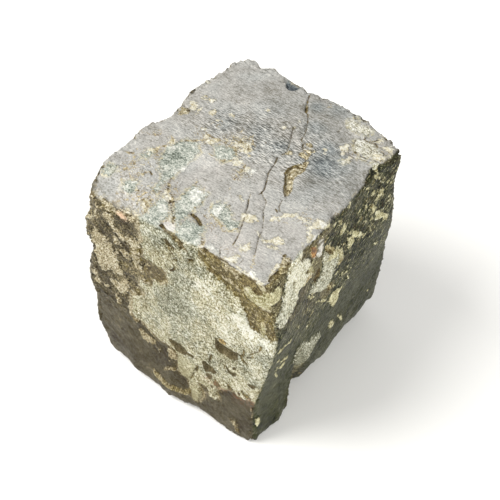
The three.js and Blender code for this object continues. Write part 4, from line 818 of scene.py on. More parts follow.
    # ---- hidden faces, with the same kinds of relief and patches
    for name, seed, ax in (("left", 200, (1, 2, 0)), ("back", 300, (0, 2, 1)), ("under", 400, (0, 1, 2))):
        w = W[name]; I = np.nonzero(w > 0.01)[0]; wi = w[I]; p = P[I]; wb = wob[I]; rg = rag[I]; cb = crumb[I]
        u, v = p[:, ax[0]], p[:, ax[1]]
        ang = {"left": -0.35, "back": 0.5, "under": 0.15}[name]
        slant = np.stack([u * math.cos(ang) + v * math.sin(ang), -u * math.sin(ang) + v * math.cos(ang), p[:, ax[2]]], 1)
        big = fbm(p, 17.0, seed, 3, 0.45)
        mid = fbm(p, 8.0, seed + 5, 3, 0.5)
        level = {"left": 0.20, "back": 0.22, "under": 0.30}[name]
        clear = 3.0 * ss(4.4, 1.6, rimd[I])
        patch = (big - level) * 16 + 0.9 * rg - clear
        tan = (mid - 0.30) * 9 + 0.9 * rg - clear
        h = 0.25 * fbm(p, 7.0, seed + 11, 3) + 0.24 * terrace(fbm(slant, (6, 1.8, 2.5), seed + 12, 3), 3, 0.15) + 0.08 * fbm(slant, (2.6, 0.55, 1), seed + 13, 2)
        rough = ss(-0.1, 0.3, fbm(p, 14.0, seed + 21, 2))
        h += rough * (0.9 * (terrace(0.5 + 0.5 * fbm(slant, (4.4, 2.4, 3), seed + 14, 2), 4, 0.10) - 0.5) + 0.2 * fbm(slant, (1.7, 0.9, 1.2), seed + 16, 2))
        h += ss(-0.2, 0.5, patch) * (0.55 + 0.16 * fbm(p, 1.1, seed + 15, 2)) + ss(-0.15, 0.25, tan) * 0.3
        hole = (fbm(p, 5.5, seed + 31, 2) - 0.46) * 7 + 0.5 * wb
        h -= 0.9 * ss(-0.1, 0.9, hole)
        if name == "under":
            h = -np.abs(h) * ss(-1.42, -0.9, p[:, 2])
        H[I] += wi * h
        put("crust", I, wi, patch)
        put("cream", I, wi, tan)
        put("gold", I, wi, (fbm(p, 4.0, seed + 41, 3) - 0.50) * 6 + 0.4 * wb - clear)
        put("dark", I, wi, hole - 0.3)
        out["grey"][I] = np.maximum(out["grey"][I] * (1 - wi), wi * (0.4 + 0.5 * fbm(p, 9.0, seed + 51, 2)))
        out["warm"][I] = np.maximum(out["warm"][I] * (1 - wi), wi * np.clip(0.3 + 0.6 * fbm(p, 8.0, seed + 52, 2), 0, 1))
        out["speck"][I] = np.maximum(out["speck"][I] * (1 - 0.5 * wi), 0.5 * wi * rough)
        out["frag"][I] = np.maximum(out["frag"][I] * (1 - wi), wi * 0.75)

    # ---- rims: small chips, worn bright
    tot = sum(W.values())
    H /= np.maximum(tot, 1.0)
    rim = 1 - np.max(np.stack(list(W.values())), 0)
    knap = fbm(P, 3.2, 71, 3)
    near = ss(2.2, 0.2, rimd) * (1 + 0.9 * ss(2, 8, P[:, 0]) * ss(22, 26, P[:, 1]) * ss(56, 59, P[:, 2]))
    H -= 0.15 * ss(18, 24, P[:, 0]) * ss(20, 26, P[:, 1]) * ss(20, 30, P[:, 2]) * ss(59, 55, P[:, 2])
    H += 0.5 * ss(0.2, 0.7, N[:, 1]) * ss(12, 18, P[:, 0]) * ss(-4, -10, P[:, 1]) * ss(15, 11, P[:, 2])
    H -= rim * (0.35 * ss(0.0, 0.5, knap) + 0.08) + near * (0.55 * ss(0.12, 0.45, fbm(P, 2.3, 73, 3)) + 0.16 * crumb)
    edge = 1 - np.max(np.abs(N), 1)
    saw = np.maximum(ss(2.0, 0.1, rimd), ss(0.02, 0.16, edge)) * (0.4 + 0.9 * np.maximum(ss(14, 3, P[:, 2]) * ss(-22, -27, P[:, 1]), ss(-20, -24, P[:, 0]) + ss(22, 26, P[:, 1])))
    H -= saw * (0.60 * ss(0.0, 0.30, fbm(P, 1.9, 77, 3)) + 0.35 * fbm(P, 1.0, 79, 2) + 0.02)
    # painted shade on the front left corner of the top, darkening the highlight that the lamp puts on its rounded rim
    u, v = seen_at(P, 2, ZT)
    out["light"] -= 0.75 * W["top"] * spots([((-19.4, -26.6), 3.0, 1.0)], u, v)     # front left corner of the top
    out["wear"] = ss(0.10, 0.28, edge) * ss(-0.15, 0.25, fbm(P, 2.6, 75, 3))
    flat = ss(ZB + 0.04, ZB + 0.2, P[:, 2])          # the spot that it stands on stays flat
    return H * flat, out

# ------------------------------------------------------------------ mesh: a box grid, finer where the surface needs it
R = 4
DIM = np.array([50, 56, 61]) * R
LOW, HIGH = np.array([-HX, -HY, ZB]), np.array([HX, HY, ZT])


def face_grid(ax, side):
    a, b = [c for c in range(3) if c != ax]
    G = np.zeros((DIM[a] + 1, DIM[b] + 1, 3), np.int64)
    G[..., a] = np.arange(DIM[a] + 1)[:, None]
    G[..., b] = np.arange(DIM[b] + 1)[None]
    G[..., ax] = side * DIM[ax]
    return G


def keyed(G):
    return (G[..., 0] * (DIM[1] + 1) + G[..., 1]) * (DIM[2] + 1) + G[..., 2]


faces = [(ax, side, face_grid(ax, side)) for ax in range(3) for side in (0, 1)]
keys = np.unique(np.concatenate([keyed(G).ravel() for _, _, G in faces]))
kk = keys % (DIM[2] + 1)
jj = (keys // (DIM[2] + 1)) % (DIM[1] + 1)
ii = keys // ((DIM[2] + 1) * (DIM[1] + 1))
start = LOW + np.stack([ii, jj, kk], 1) / DIM * (HIGH - LOW)
CORE = 11.0
S = np.clip(start, LOW + CORE, HIGH - CORE)
D = start - S
D /= np.linalg.norm(D, axis=1)[:, None]
a0, b0 = np.full(len(S), CORE * 0.4), np.full(len(S), CORE * 1.9)
for _ in range(22):
    c = (a0 + b0) / 2
    ins = block(S + c[:, None] * D) < 0
    a0, b0 = np.where(ins, c, a0), np.where(ins, b0, c)
base = S + ((a0 + b0) / 2)[:, None] * D
e = 0.25
N = np.stack([block(base + np.eye(3)[k] * e) - block(base - np.eye(3)[k] * e) for k in range(3)], 1)
N /= np.linalg.norm(N, axis=1)[:, None] + 1e-9
edge_d = np.sort(np.minimum(start - LOW, HIGH - start), 1)[:, 1]
h, fld = relief(base, N, D, edge_d)
P = base + h[:, None] * D
P[:, 2] = np.maximum(P[:, 2], ZB)
P[base[:, 2] < ZB + 1e-3, 2] = ZB

# which cells to split, by how far the surface inside leaves the flat patch between its corners
want = 196000


def cell_error(A, k):
    nu, nv = (A.shape[0] - 1) // k, (A.shape[1] - 1) // k
    c00, c10, c01, c11 = A[:-1:k, :-1:k][:nu, :nv], A[k::k, :-1:k][:nu, :nv], A[:-1:k, k::k][:nu, :nv], A[k::k, k::k][:nu, :nv]
    err = np.zeros((nu, nv))
    for s in range(k + 1):
        for t in range(k + 1):
            f, g = s / k, t / k
            lin = c00 * (1 - f) * (1 - g) + c10 * f * (1 - g) + c01 * (1 - f) * g + c11 * f * g
            act = A[s:s + nu * k - (k - 1) if k > 1 else None:k, t:t + nv * k - (k - 1) if k > 1 else None:k][:nu, :nv]
            err = np.maximum(err, np.linalg.norm(act - lin, axis=-1))
    return err


marks = np.stack([np.clip(fld[c], -0.8, 0.8) for c in ("crust", "cream", "gold", "dark", "vein")], 1) * 0.16
errs = []
for ax, side, G in faces:
    idx = np.searchsorted(keys, keyed(G))
    seen = {(0, 1): 1.0, (1, 0): 1.0, (2, 1): 1.0, (0, 0): 0.5, (1, 1): 0.5, (2, 0): 0.2}[(ax, side)]
    A = np.concatenate([P[idx], marks[idx]], -1)
    errs.append((idx, cell_error(A, 4) * seen, cell_error(A, 2) * seen))


def split_at(tol):
    """The cells for a tolerance, which lattice points they use, and the triangles they come to."""
    used = np.zeros(len(keys), bool)
    cells = {4: [], 2: [], 1: []}
    for (ax, side, G), (idx, e4, e2) in zip(faces, errs):
        flip = (side == 0) ^ (ax == 1)
        big = e4 > tol * 1.2
        nu, nv = e4.shape
        split = (e2.reshape(nu, 2, nv, 2) > tol) & big[:, None, :, None]
        for k in (4, 2, 1):
            if k == 4:
                a, b = np.nonzero(~big)
            elif k == 2:
                a, b = np.nonzero((big[:, None, :, None] & ~split).reshape(nu * 2, nv * 2))
            else:
                a, b = np.nonzero(np.repeat(np.repeat(split.reshape(nu * 2, nv * 2), 2, 0), 2, 1))
            cells[k].append((idx, a * k, b * k, flip))
            for da, db in ((0, 0), (k, 0), (k, k), (0, k)):
                used[idx[a * k + da, b * k + db]] = True
    n = 2 * sum(len(c[1]) for c in cells[1])
    for k in (4, 2):
        for idx, a, b, flip in cells[k]:
            u = sum(used[idx[a + da, b + db]].astype(np.int32) for da, db in ring_of(k))
            n += int(np.where(u == 4, 2, u).sum())
    return n, used, cells


def ring_of(k):
    return [(s, 0) for s in range(k)] + [(k, s) for s in range(k)] + [(k - s, k) for s in range(k)] + [(0, k - s) for s in range(k)]


t0, t1 = 1e-3, 0.5
for _ in range(14):
    t = math.sqrt(t0 * t1)
    if split_at(t)[0] > want:
        t0 = t
    else:
        t1 = t
n, used, cells = split_at(t1)

# a chart a side for the map that the material is baked through, large for the photographed ones: left, low, width, height
CHART = {(2, 1): (0.0, 0.5, 0.5, 0.5), (1, 0): (0.0, 0.0, 0.5, 0.5), (0, 1): (0.5, 0.5, 0.5, 0.5),
         (0, 0): (0.5, 0.14, 0.25, 0.36), (1, 1): (0.75, 0.14, 0.25, 0.36), (2, 0): (0.5, 0.0, 0.5, 0.14)}


def on_chart(side, a, b, shape):
    x, y, w, h = CHART[side]
    return np.stack([x + 0.004 + (w - 0.008) * a / (shape[0] - 1), y + 0.004 + (h - 0.008) * b / (shape[1] - 1)], -1)


quads, tris, centres, quad_uv, tri_uv = [], [], [], [], []
for k in (4, 2, 1):
    ring = np.array(ring_of(k))
    for (ax, side, G), (idx, a, b, flip) in zip(faces, cells[k]):
        turn = -1 if flip else 1
        L = np.stack([idx[a + da, b + db] for da, db in ring], 1)
        T = on_chart((ax, side), a[:, None] + ring[:, 0], b[:, None] + ring[:, 1], idx.shape)
        U = used[L]
        plain = U.sum(1) == 4
        quads.append(L[plain][:, [0, k, 2 * k, 3 * k]][:, ::turn])
        quad_uv.append(T[plain][:, [0, k, 2 * k, 3 * k]][:, ::turn])
        rest = np.nonzero(~plain)[0]
        if len(rest):
            mid = idx[a[rest] + k // 2, b[rest] + k // 2]
            centres.append(mid)
            for r, m0, t0 in zip(rest, mid, on_chart((ax, side), a[rest] + k // 2, b[rest] + k // 2, idx.shape)):
                w, tw = L[r][U[r]], T[r][U[r]]
                tris.append(np.stack([np.full(len(w), m0), w, np.roll(w, -1)], 1)[:, ::turn])
                tri_uv.append(np.stack([np.broadcast_to(t0, tw.shape), tw, np.roll(tw, -1, 0)], 1)[:, ::turn])
for m0 in centres:
    used[m0] = True
remap = np.cumsum(used) - 1
quads = remap[np.concatenate(quads)]
tris = remap[np.concatenate(tris)] if tris else np.zeros((0, 3), int)
V = P[used]
print("TRIANGLES", len(quads) * 2 + len(tris), "tolerance", t1)

mesh = bpy.data.meshes.new("pyrite_cube_visual")
co = ((V + SHIFT) * 0.001).astype(np.float32)
co[V[:, 2] <= ZB + 1e-6, 2] = 0.0
mesh.vertices.add(len(co))
mesh.vertices.foreach_set("co", co.ravel())
loops = np.concatenate([quads.ravel(), tris.ravel()]).astype(np.int32)
starts = np.concatenate([np.arange(len(quads)) * 4, len(quads) * 4 + np.arange(len(tris)) * 3]).astype(np.int32)
mesh.loops.add(len(loops))
mesh.loops.foreach_set("vertex_index", loops)
mesh.polygons.add(len(starts))
mesh.polygons.foreach_set("loop_start", starts)
mesh.update(calc_edges=True)
bake_map = mesh.uv_layers.new(name="OFBake")
bake_map.data.foreach_set("uv", np.concatenate([t.reshape(-1, 2) for t in quad_uv + tri_uv]).astype(np.float32).ravel())
mesh.validate()
mesh.shade_smooth()
mesh.set_sharp_from_angle(angle=math.radians(62))
for name in CH + SC:
    at = mesh.attributes.new(name, "FLOAT", "POINT")
    at.data.foreach_set("value", fld[name][used].astype(np.float32))

# ------------------------------------------------------------------ material
# one material for the whole stone; besides its own colours it carries painted shade on the sides and painted highlights
# and sheen
mat = bpy.data.materials.new("tarnished_pyrite")
mat.use_nodes = True
nt = mat.node_tree
nt.nodes.clear()


def rgb(r, g, b):
    f = lambda c: c / 12.92 if c <= 0.04045 else ((c + 0.055) / 1.055) ** 2.4
    return (f(r / 255), f(g / 255), f(b / 255), 1.0)


def link(v, sock):
    if isinstance(v, bpy.types.NodeSocket):
        nt.links.new(v, sock)
    else:
        sock.default_value = v


def op(kind, a, b=None, c=None, clamp=False):
    n = nt.nodes.new("ShaderNodeMath")
    n.operation = kind
    n.use_clamp = clamp
    for s, v in zip(n.inputs, (a, b, c)):
        if v is not None:
            link(v, s)
    return n.outputs[0]


def mix(fac, a, b):
    n = nt.nodes.new("ShaderNodeMix")
    n.data_type = "RGBA"
    n.clamp_factor = True
    link(fac, n.inputs[0])
    link(a, n.inputs[6])
    link(b, n.inputs[7])
    return n.outputs[2]


def mixf(fac, a, b):
    n = nt.nodes.new("ShaderNodeMix")
    n.data_type = "FLOAT"
    n.clamp_factor = True
    link(fac, n.inputs[0])
    link(a, n.inputs[2])
    link(b, n.inputs[3])
    return n.outputs[0]


def step(v, a, b):
    n = nt.nodes.new("ShaderNodeMapRange")
    n.interpolation_type = "SMOOTHSTEP"
    n.clamp = True
    link(v, n.inputs[0])
    n.inputs[1].default_value = a
    n.inputs[2].default_value = b
    n.inputs[3].default_value = 0.0
    n.inputs[4].default_value = 1.0
    return n.outputs[0]


def attr(name):
    n = nt.nodes.new("ShaderNodeAttribute")
    n.attribute_name = name
    return n.outputs["Fac"]


coord = nt.nodes.new("ShaderNodeTexCoord").outputs["Object"]


def spread(scale, turn=(0, 0, 0)):
    """Object coordinates in millimetres divided by scale along turned axes."""
    v = coord
    if any(turn):
        n = nt.nodes.new("ShaderNodeMapping")
        n.vector_type = "POINT"
        n.inputs["Rotation"].default_value = turn
        nt.links.new(v, n.inputs["Vector"])
        v = n.outputs[0]
    n = nt.nodes.new("ShaderNodeVectorMath")
    n.operation = "MULTIPLY"
    nt.links.new(v, n.inputs[0])
    n.inputs[1].default_value = [1000.0 / s for s in scale]
    return n.outputs[0]


def noise(size, detail=3.0, rough=0.55, dist=0.0, vec=None, w=0.0):
    n = nt.nodes.new("ShaderNodeTexNoise")
    n.noise_dimensions = "3D"
    n.inputs["Detail"].default_value = detail
    n.inputs["Roughness"].default_value = rough
    n.inputs["Distortion"].default_value = dist
    if vec is None:
        vec = spread((size,) * 3)
    n.inputs["Scale"].default_value = 1.0
    if w:
        m = nt.nodes.new("ShaderNodeVectorMath")
        m.operation = "ADD"
        nt.links.new(vec, m.inputs[0])
        m.inputs[1].default_value = (w, w * 0.7, -w)
        vec = m.outputs[0]
    nt.links.new(vec, n.inputs["Vector"])
    return n.outputs["Fac"]


def grains(size, w=0.0):
    n = nt.nodes.new("ShaderNodeTexVoronoi")
    n.feature = "F1"
    n.inputs["Scale"].default_value = 1.0
    vec = spread((size,) * 3)
    if w:
        m = nt.nodes.new("ShaderNodeVectorMath")
        m.operation = "ADD"
        nt.links.new(vec, m.inputs[0])
        m.inputs[1].default_value = (w, w * 0.7, -w)
        vec = m.outputs[0]
    nt.links.new(vec, n.inputs["Vector"])
    return n


fine = noise(0.55, 3.0, 0.6)
fine2 = noise(0.9, 3.0, 0.6, w=31.0)
medium = noise(2.4, 4.0, 0.6, w=7.0)
large = noise(9.0, 3.0, 0.5, w=13.0)
grit = noise(0.36, 2.0, 0.6, w=53.0)
breakup = noise(1.1, 5.0, 0.68, w=83.0)
streak_top = noise(1, 3.0, 0.65, 0.4, vec=spread((2.0, 0.45, 2.0), (0, 0, 0.06)))
streak_top2 = noise(1, 2.0, 0.6, 0.3, vec=spread((0.95, 0.29, 1.0), (0, 0, -0.08)), w=19.0)
streak_top3 = noise(1, 2.0, 0.6, 0.2, vec=spread((1.2, 0.20, 1.0), (0, 0, 0.02)), w=149.0)
felt = noise(0.9, 3.0, 0.62, 1.8, w=157.0)
streak_front = noise(1, 3.0, 0.6, 0.3, vec=spread((2.2, 1.6, 0.50), (0, -0.50, 0)))
streak_band = noise(1, 3.0, 0.65, 0.4, vec=spread((1.0, 0.8, 0.26), (0, -0.62, 0)), w=29.0)
streak_right = noise(1, 3.0, 0.6, 0.3, vec=spread((1.6, 2.0, 0.50), (-0.65, 0, 0)))
streak_right2 = noise(1, 2.0, 0.6, 0.2, vec=spread((1.0, 1.2, 0.34), (-0.65, 0, 0)), w=23.0)

top, front, right = attr("top"), attr("front"), attr("right")
a_blue, a_painted_light, a_speck, a_grey, a_warm, a_painted_highlight, a_pit, a_wear, a_frag, a_hatch, a_band, a_rose, a_calm = [
    attr(k) for k in ("blue", "light", "speck", "grey", "warm", "painted_highlight", "pit", "wear", "frag", "hatch", "band", "rose", "calm")]
jitter = op("SUBTRACT", fine, 0.5)
torn = op("SUBTRACT", breakup, 0.5)
torn_amount = op("MULTIPLY_ADD", a_frag, 3.0, 0.7)
torn_by = op("MULTIPLY", torn, torn_amount)
combed = op("MULTIPLY", op("SUBTRACT", streak_top2, 0.5), op("MULTIPLY", top, 2.6))


def mask(name, soft=0.10, amount=0.55, ragged=1.0, comb=0.0):
    """Outline field to a crisp, ragged mask."""
    v = op("MULTIPLY_ADD", jitter, amount, attr(name))
    if ragged:
        v = op("MULTIPLY_ADD", torn_by, ragged, v)
    if comb:
        v = op("MULTIPLY_ADD", combed, comb, v)
    return step(v, -soft, soft)


def ramp(fac, light, *stops, veil=0.026):
    """Colours as seen in the light of the face, its light and grey sheen taken out again."""
    n = nt.nodes.new("ShaderNodeValToRGB")
    n.color_ramp.interpolation = "LINEAR"
    el = n.color_ramp.elements
    while len(el) < len(stops):
        el.new(0.5)
    for e, (pos, col) in zip(el, stops):
        e.position = pos
        e.color = tuple(min(max(c - veil, 0.004) / light, 0.93) for c in rgb(*col)[:3]) + (1.0,)
    link(fac, n.inputs[0])
    return n.outputs[0]


def blend(start, *parts):
    """start + sum of weight * (noise - 0.5)."""
    v = start
    for k, nse in parts:
        v = op("MULTIPLY_ADD", op("SUBTRACT", nse, 0.5), k, v)
    return v


def add(v, k, w):
    return op("MULTIPLY_ADD", w, k, v)


def stretch(v, k):
    """More contrast round the middle."""
    return op("MULTIPLY_ADD", v, k, 0.5 - 0.5 * k)


def hairs(n, width):
    """Thin crooked lines where a noise crosses its middle."""
    return step(op("ABSOLUTE", op("SUBTRACT", n, 0.5)), width, width * 0.25)


LT, LF, LR = 1.34, 1.28, 0.98      # light on the top, front and right faces

m_crust, m_cream, m_gold = mask("crust", 0.18, 0.6, 1.0, 0.8), mask("cream", 0.14, 0.6, 0.9, 0.5), mask("gold", 0.12, 0.5, 0.5)
m_white, m_rust, m_dark = mask("white", 0.45, 0.8, 1.0, 0.5), mask("rust", 0.15, 0.3, 0.3), mask("dark", 0.12, 0.3, 0.12)
quiet = op("MULTIPLY_ADD", a_calm, -0.55, 1.0)

# bare metal of the top: neutral grey, hatched along x where it is striated
weak = op("MULTIPLY_ADD", a_hatch, 0.92, 0.14)
hatched = op("MULTIPLY", blend(0.0, (0.35, streak_top), (1.4, streak_top2), (2.3, streak_top3)), weak)
# bright and dark short strokes along the striations of the top: the bright ones are painted glints
glints_and_strokes_t = op("MULTIPLY", op("SUBTRACT", step(streak_top, 0.62, 0.74), op("MULTIPLY", step(streak_top2, 0.36, 0.26), 1.3)), weak)
soft = op("MULTIPLY_ADD", a_hatch, -0.5, 1.0)
l_top = op("ADD", op("ADD", 0.53, hatched), op("MULTIPLY", blend(0.0, (0.45, medium), (0.50, large), (0.6, fine), (0.6, grit)), soft))
l_top = add(l_top, 0.26, glints_and_strokes_t)
l_top = add(l_top, op("MULTIPLY", op("SUBTRACT", grit, 0.5), 0.9), op("MULTIPLY", a_speck, soft))
# painted sheen and painted shade lighten and darken the top's bare metal
l_top = add(l_top, 0.26, a_painted_light)
l_top = add(l_top, -0.17, a_blue)
l_top = add(l_top, -0.05, a_hatch)
c_top = ramp(l_top, LT, (0.0, (92, 88, 78)), (0.2, (131, 126, 112)), (0.35, (153, 151, 144)), (0.5, (178, 176, 171)), (0.65, (197, 195, 190)), (0.8, (218, 215, 207)), (1.0, (250, 247, 238)))
c_top_b = ramp(l_top, LT, (0.0, (74, 82, 88)), (0.2, (114, 121, 124)), (0.35, (141, 148, 149)), (0.5, (167, 173, 173)), (0.65, (190, 195, 194)), (0.8, (213, 215, 211)), (1.0, (246, 246, 240)))
c_top = mix(op("MULTIPLY_ADD", op("MULTIPLY", a_blue, top), 0.95, op("MULTIPLY", step(large, 0.45, 0.62), 0.25)), c_top, c_top_b)
# where the sheen is painted, patches of the top turn a flat pale colour
c_top = mix(op("MULTIPLY", a_painted_light, op("MULTIPLY", step(medium, 0.42, 0.60), 0.35)), c_top, ramp(0.5, LT, (0.0, (209, 202, 200)), (1.0, (209, 202, 200))))

# bare metal of the sides: dark brown in front, olive on the right, streaked; it is painted darker than the top's bare
# metal, partly its own brown and olive tint, partly painted shade standing in for the dark surroundings the metal sides
# reflect
s_mix = mixf(right, mixf(front, medium, streak_front), streak_right)
side_n = op("MULTIPLY", blend(0.0, (1.0, s_mix), (0.8, medium), (0.9, fine), (0.9, grit)), quiet)
blotch = noise(5.0, 3.0, 0.6, w=127.0)
l_side = blend(op("ADD", 0.47, side_n), (0.55, large), (0.8, blotch))
crumbly = op("MULTIPLY", op("MULTIPLY", op("SUBTRACT", grit, 0.5), 1.6), op("MULTIPLY", op("MULTIPLY", step(a_frag, 0.22, 0.70), quiet), front))
l_side = op("ADD", add(op("ADD", l_side, 0.10), -0.15, a_calm), crumbly)
c_side = ramp(l_side, LF, (0.0, (54, 46, 30)), (0.2, (76, 68, 50)), (0.35, (89, 83, 67)), (0.5, (101, 96, 82)), (0.65, (114, 107, 90)), (0.8, (134, 125, 100)), (1.0, (178, 167, 134)), veil=0.040)
olive_n = op("MULTIPLY", blend(0.0, (1.4, streak_right), (1.9, streak_right2), (0.6, medium), (1.7, grit)), quiet)
# bright short dashes along the right face's streaks are painted glints
glint_streaks_r = op("MULTIPLY", step(streak_right2, 0.60, 0.70), op("MULTIPLY_ADD", a_speck, 0.40, 0.14))
l_olive = add(blend(op("ADD", op("MULTIPLY_ADD", a_calm, 0.02, 0.385), olive_n), (0.4, large), (0.5, blotch)), 0.6, glint_streaks_r)
c_olive = ramp(l_olive, LR, (0.0, (40, 41, 25)), (0.2, (61, 63, 45)), (0.35, (76, 77, 61)), (0.5, (89, 90, 74)), (0.65, (103, 103, 85)), (0.8, (134, 131, 105)), (1.0, (204, 199, 162)), veil=0.038)
c_olive = mix(a_blue, c_olive, ramp(l_olive, LR, (0.0, (58, 52, 36)), (0.2, (84, 78, 61)), (0.35, (101, 94, 77)), (0.5, (115, 108, 90)), (0.65, (130, 123, 103)), (0.8, (154, 147, 123)), (1.0, (204, 197, 168)), veil=0.038))
c_side = mix(right, c_side, c_olive)

# golden brown broken bands
l_band = blend(op("MULTIPLY_ADD", right, -0.04, 0.42), (1.6, streak_band), (0.5, fine), (1.7, grit), (0.3, fine2))
# bright specks in the band are painted glints
l_band = add(op("ADD", l_band, -0.02), 0.50, step(noise(0.45, 2.0, 0.6, w=137.0), 0.65, 0.70))
# the band is painted lighter where the painted highlight falls on the front
l_band = add(add(l_band, -0.14, op("MULTIPLY", a_blue, front)), 0.09, op("MULTIPLY", a_painted_light, front))
l_band = add(l_band, op("MULTIPLY", step(noise(0.9, 3.0, 0.6, w=151.0), 0.56, 0.64), 0.5), op("MULTIPLY", a_blue, front))
c_band = ramp(l_band, 1.16, (0.0, (64, 52, 26)), (0.2, (94, 82, 46)), (0.35, (116, 104, 62)), (0.5, (138, 126, 84)), (0.65, (165, 153, 109)), (0.8, (202, 191, 150)), (1.0, (246, 240, 212)))
c_band = mix(op("MAXIMUM", op("MULTIPLY", a_blue, front), op("MULTIPLY", step(medium, 0.36, 0.56), 0.65)), c_band, ramp(l_band, 1.16, (0.0, (72, 62, 42)), (0.2, (98, 88, 64)), (0.35, (112, 102, 76)), (0.5, (128, 117, 88)), (0.65, (148, 136, 103)), (0.8, (176, 163, 126)), (1.0, (222, 212, 178))))
m_band = step(op("MULTIPLY_ADD", torn, 1.2, a_band), 0.35, 0.65)
c_band = mix(right, c_band, ramp(l_band, 1.0, (0.0, (60, 54, 36)), (0.2, (88, 82, 60)), (0.35, (108, 101, 76)), (0.5, (128, 121, 94)), (0.65, (154, 147, 116)), (0.8, (192, 185, 150)), (1.0, (242, 237, 210))))
c_side = mix(m_band, c_side, c_band)
bare = mix(op("MULTIPLY", top, op("SUBTRACT", 1.0, op("MULTIPLY", m_band, 0.8))), c_side, c_top)

# crust: felted and granular, grey green to cream, with fine dark scratches
scratch = noise(1, 2.0, 0.65, 0.9, vec=spread((1.2, 0.9, 0.36), (0.3, -0.6, 0.2)), w=71.0)
worm1 = noise(1, 3.0, 0.62, 1.2, vec=spread((2.0, 1.4, 0.95), (0.2, -0.5, 0.1)), w=101.0)
worm2 = noise(1.0, 2.0, 0.6, 1.0, w=107.0)
hair = op("MAXIMUM", hairs(worm1, 0.040), op("MULTIPLY", hairs(worm2, 0.045), 0.8))
glint = step(noise(0.62, 1.0, 0.5, w=113.0), 0.61, 0.70)
pock = step(noise(1.7, 2.0, 0.6, 0.6, w=131.0), 0.60, 0.70)
hue = op("ADD", op("MULTIPLY", op("SUBTRACT", noise(3.2, 4.0, 0.62, w=41.0), 0.5), 2.6), op("SUBTRACT", a_grey, a_warm))
l_cr = blend(0.545, (1.3, fine), (2.5, grit), (1.2, scratch), (0.7, felt), (0.6, medium), (0.5, large))
l_cr = add(l_cr, -0.26, hair)
l_cr = add(l_cr, 0.28, glint)
l_cr = add(l_cr, -0.16, pock)
# the crust is painted lighter where the painted highlights fall
l_cr = add(l_cr, op("MULTIPLY", step(noise(2.0, 3.0, 0.6, w=139.0), 0.30, 0.55), 0.67), a_painted_highlight)
l_cr = add(l_cr, -0.10, op("MULTIPLY", a_grey, op("SUBTRACT", 1.0, top)))
l_cr = add(l_cr, 0.10, right)
l_cr = op("MULTIPLY_ADD", op("SUBTRACT", 0.29, l_cr), op("MULTIPLY", a_calm, front), l_cr)
warm_cr = ramp(l_cr, LF, (0.0, (104, 94, 60)), (0.2, (148, 139, 104)), (0.35, (175, 169, 134)), (0.5, (199, 194, 162)), (0.65, (219, 214, 182)), (0.8, (240, 235, 206)), (1.0, (255, 253, 242)))
grey_cr = ramp(l_cr, LF, (0.0, (88, 86, 64)), (0.2, (126, 125, 101)), (0.35, (150, 150, 127)), (0.5, (171, 172, 150)), (0.65, (193, 194, 172)), (0.8, (215, 215, 194)), (1.0, (247, 247, 234)))
c_cr = mix(step(hue, -0.45, 0.70), warm_cr, grey_cr)
right_w = ramp(l_cr, LR, (0.0, (114, 106, 76)), (0.2, (162, 157, 126)), (0.35, (192, 188, 159)), (0.5, (214, 210, 183)), (0.65, (228, 225, 200)), (0.8, (240, 237, 213)), (1.0, (254, 252, 238)))
right_g = ramp(l_cr, LR, (0.0, (70, 67, 48)), (0.2, (110, 108, 85)), (0.35, (139, 138, 116)), (0.5, (160, 160, 139)), (0.65, (179, 179, 158)), (0.8, (200, 200, 180)), (1.0, (238, 237, 220)))
c_cr = mix(right, c_cr, mix(step(hue, -0.35, 0.9), right_w, right_g))
l_ct = blend(0.68, (0.7, fine), (0.9, grit), (1.4, felt), (1.5, medium), (0.9, streak_top2), (0.9, streak_top3))
l_ct = add(add(l_ct, -0.22, hair), 0.28, glint)
# the top's crust takes only the darker part: painted shade and darker spots
l_ct = add(l_ct, 0.26, op("MINIMUM", a_painted_light, 0.0))
l_ct = add(l_ct, -0.08, op("MULTIPLY", step(attr("crust"), 0.9, 2.2), op("SUBTRACT", 1.0, a_warm)))
top_cr = ramp(l_ct, LT, (0.0, (98, 107, 97)), (0.2, (136, 145, 135)), (0.35, (163, 171, 161)), (0.5, (187, 194, 184)), (0.65, (207, 212, 202)), (0.8, (228, 231, 219)), (1.0, (252, 252, 244)))
l_pl = blend(0.64, (1.0, fine), (1.7, grit), (0.6, felt), (0.9, medium), (1.5, streak_top2), (2.4, streak_top3))
top_pale = ramp(l_pl, LT, (0.0, (90, 86, 66)), (0.2, (142, 138, 118)), (0.35, (184, 180, 160)), (0.5, (211, 208, 189)), (0.65, (230, 227, 209)), (0.8, (246, 244, 230)), (1.0, (255, 255, 250)))
c_cr = mix(op("MULTIPLY", top, 0.9), c_cr, mix(a_warm, top_cr, top_pale))

# thinner tan and cream skins
l_tan = blend(0.61, (1.3, fine2), (1.5, grit), (1.1, fine), (0.9, medium))
# the tan skins are painted lighter where the painted highlights fall
l_tan = add(add(l_tan, -0.22, hair), 0.16, a_painted_highlight)
l_tan = op("ADD", add(l_tan, 0.17, top), crumbly)
l_tan = add(l_tan, -0.24, op("MULTIPLY", a_calm, front))
c_tan = ramp(l_tan, LF, (0.0, (98, 84, 54)), (0.2, (142, 128, 93)), (0.35, (170, 157, 122)), (0.5, (193, 181, 147)), (0.65, (209, 198, 165)), (0.8, (226, 216, 186)), (1.0, (248, 242, 220)))
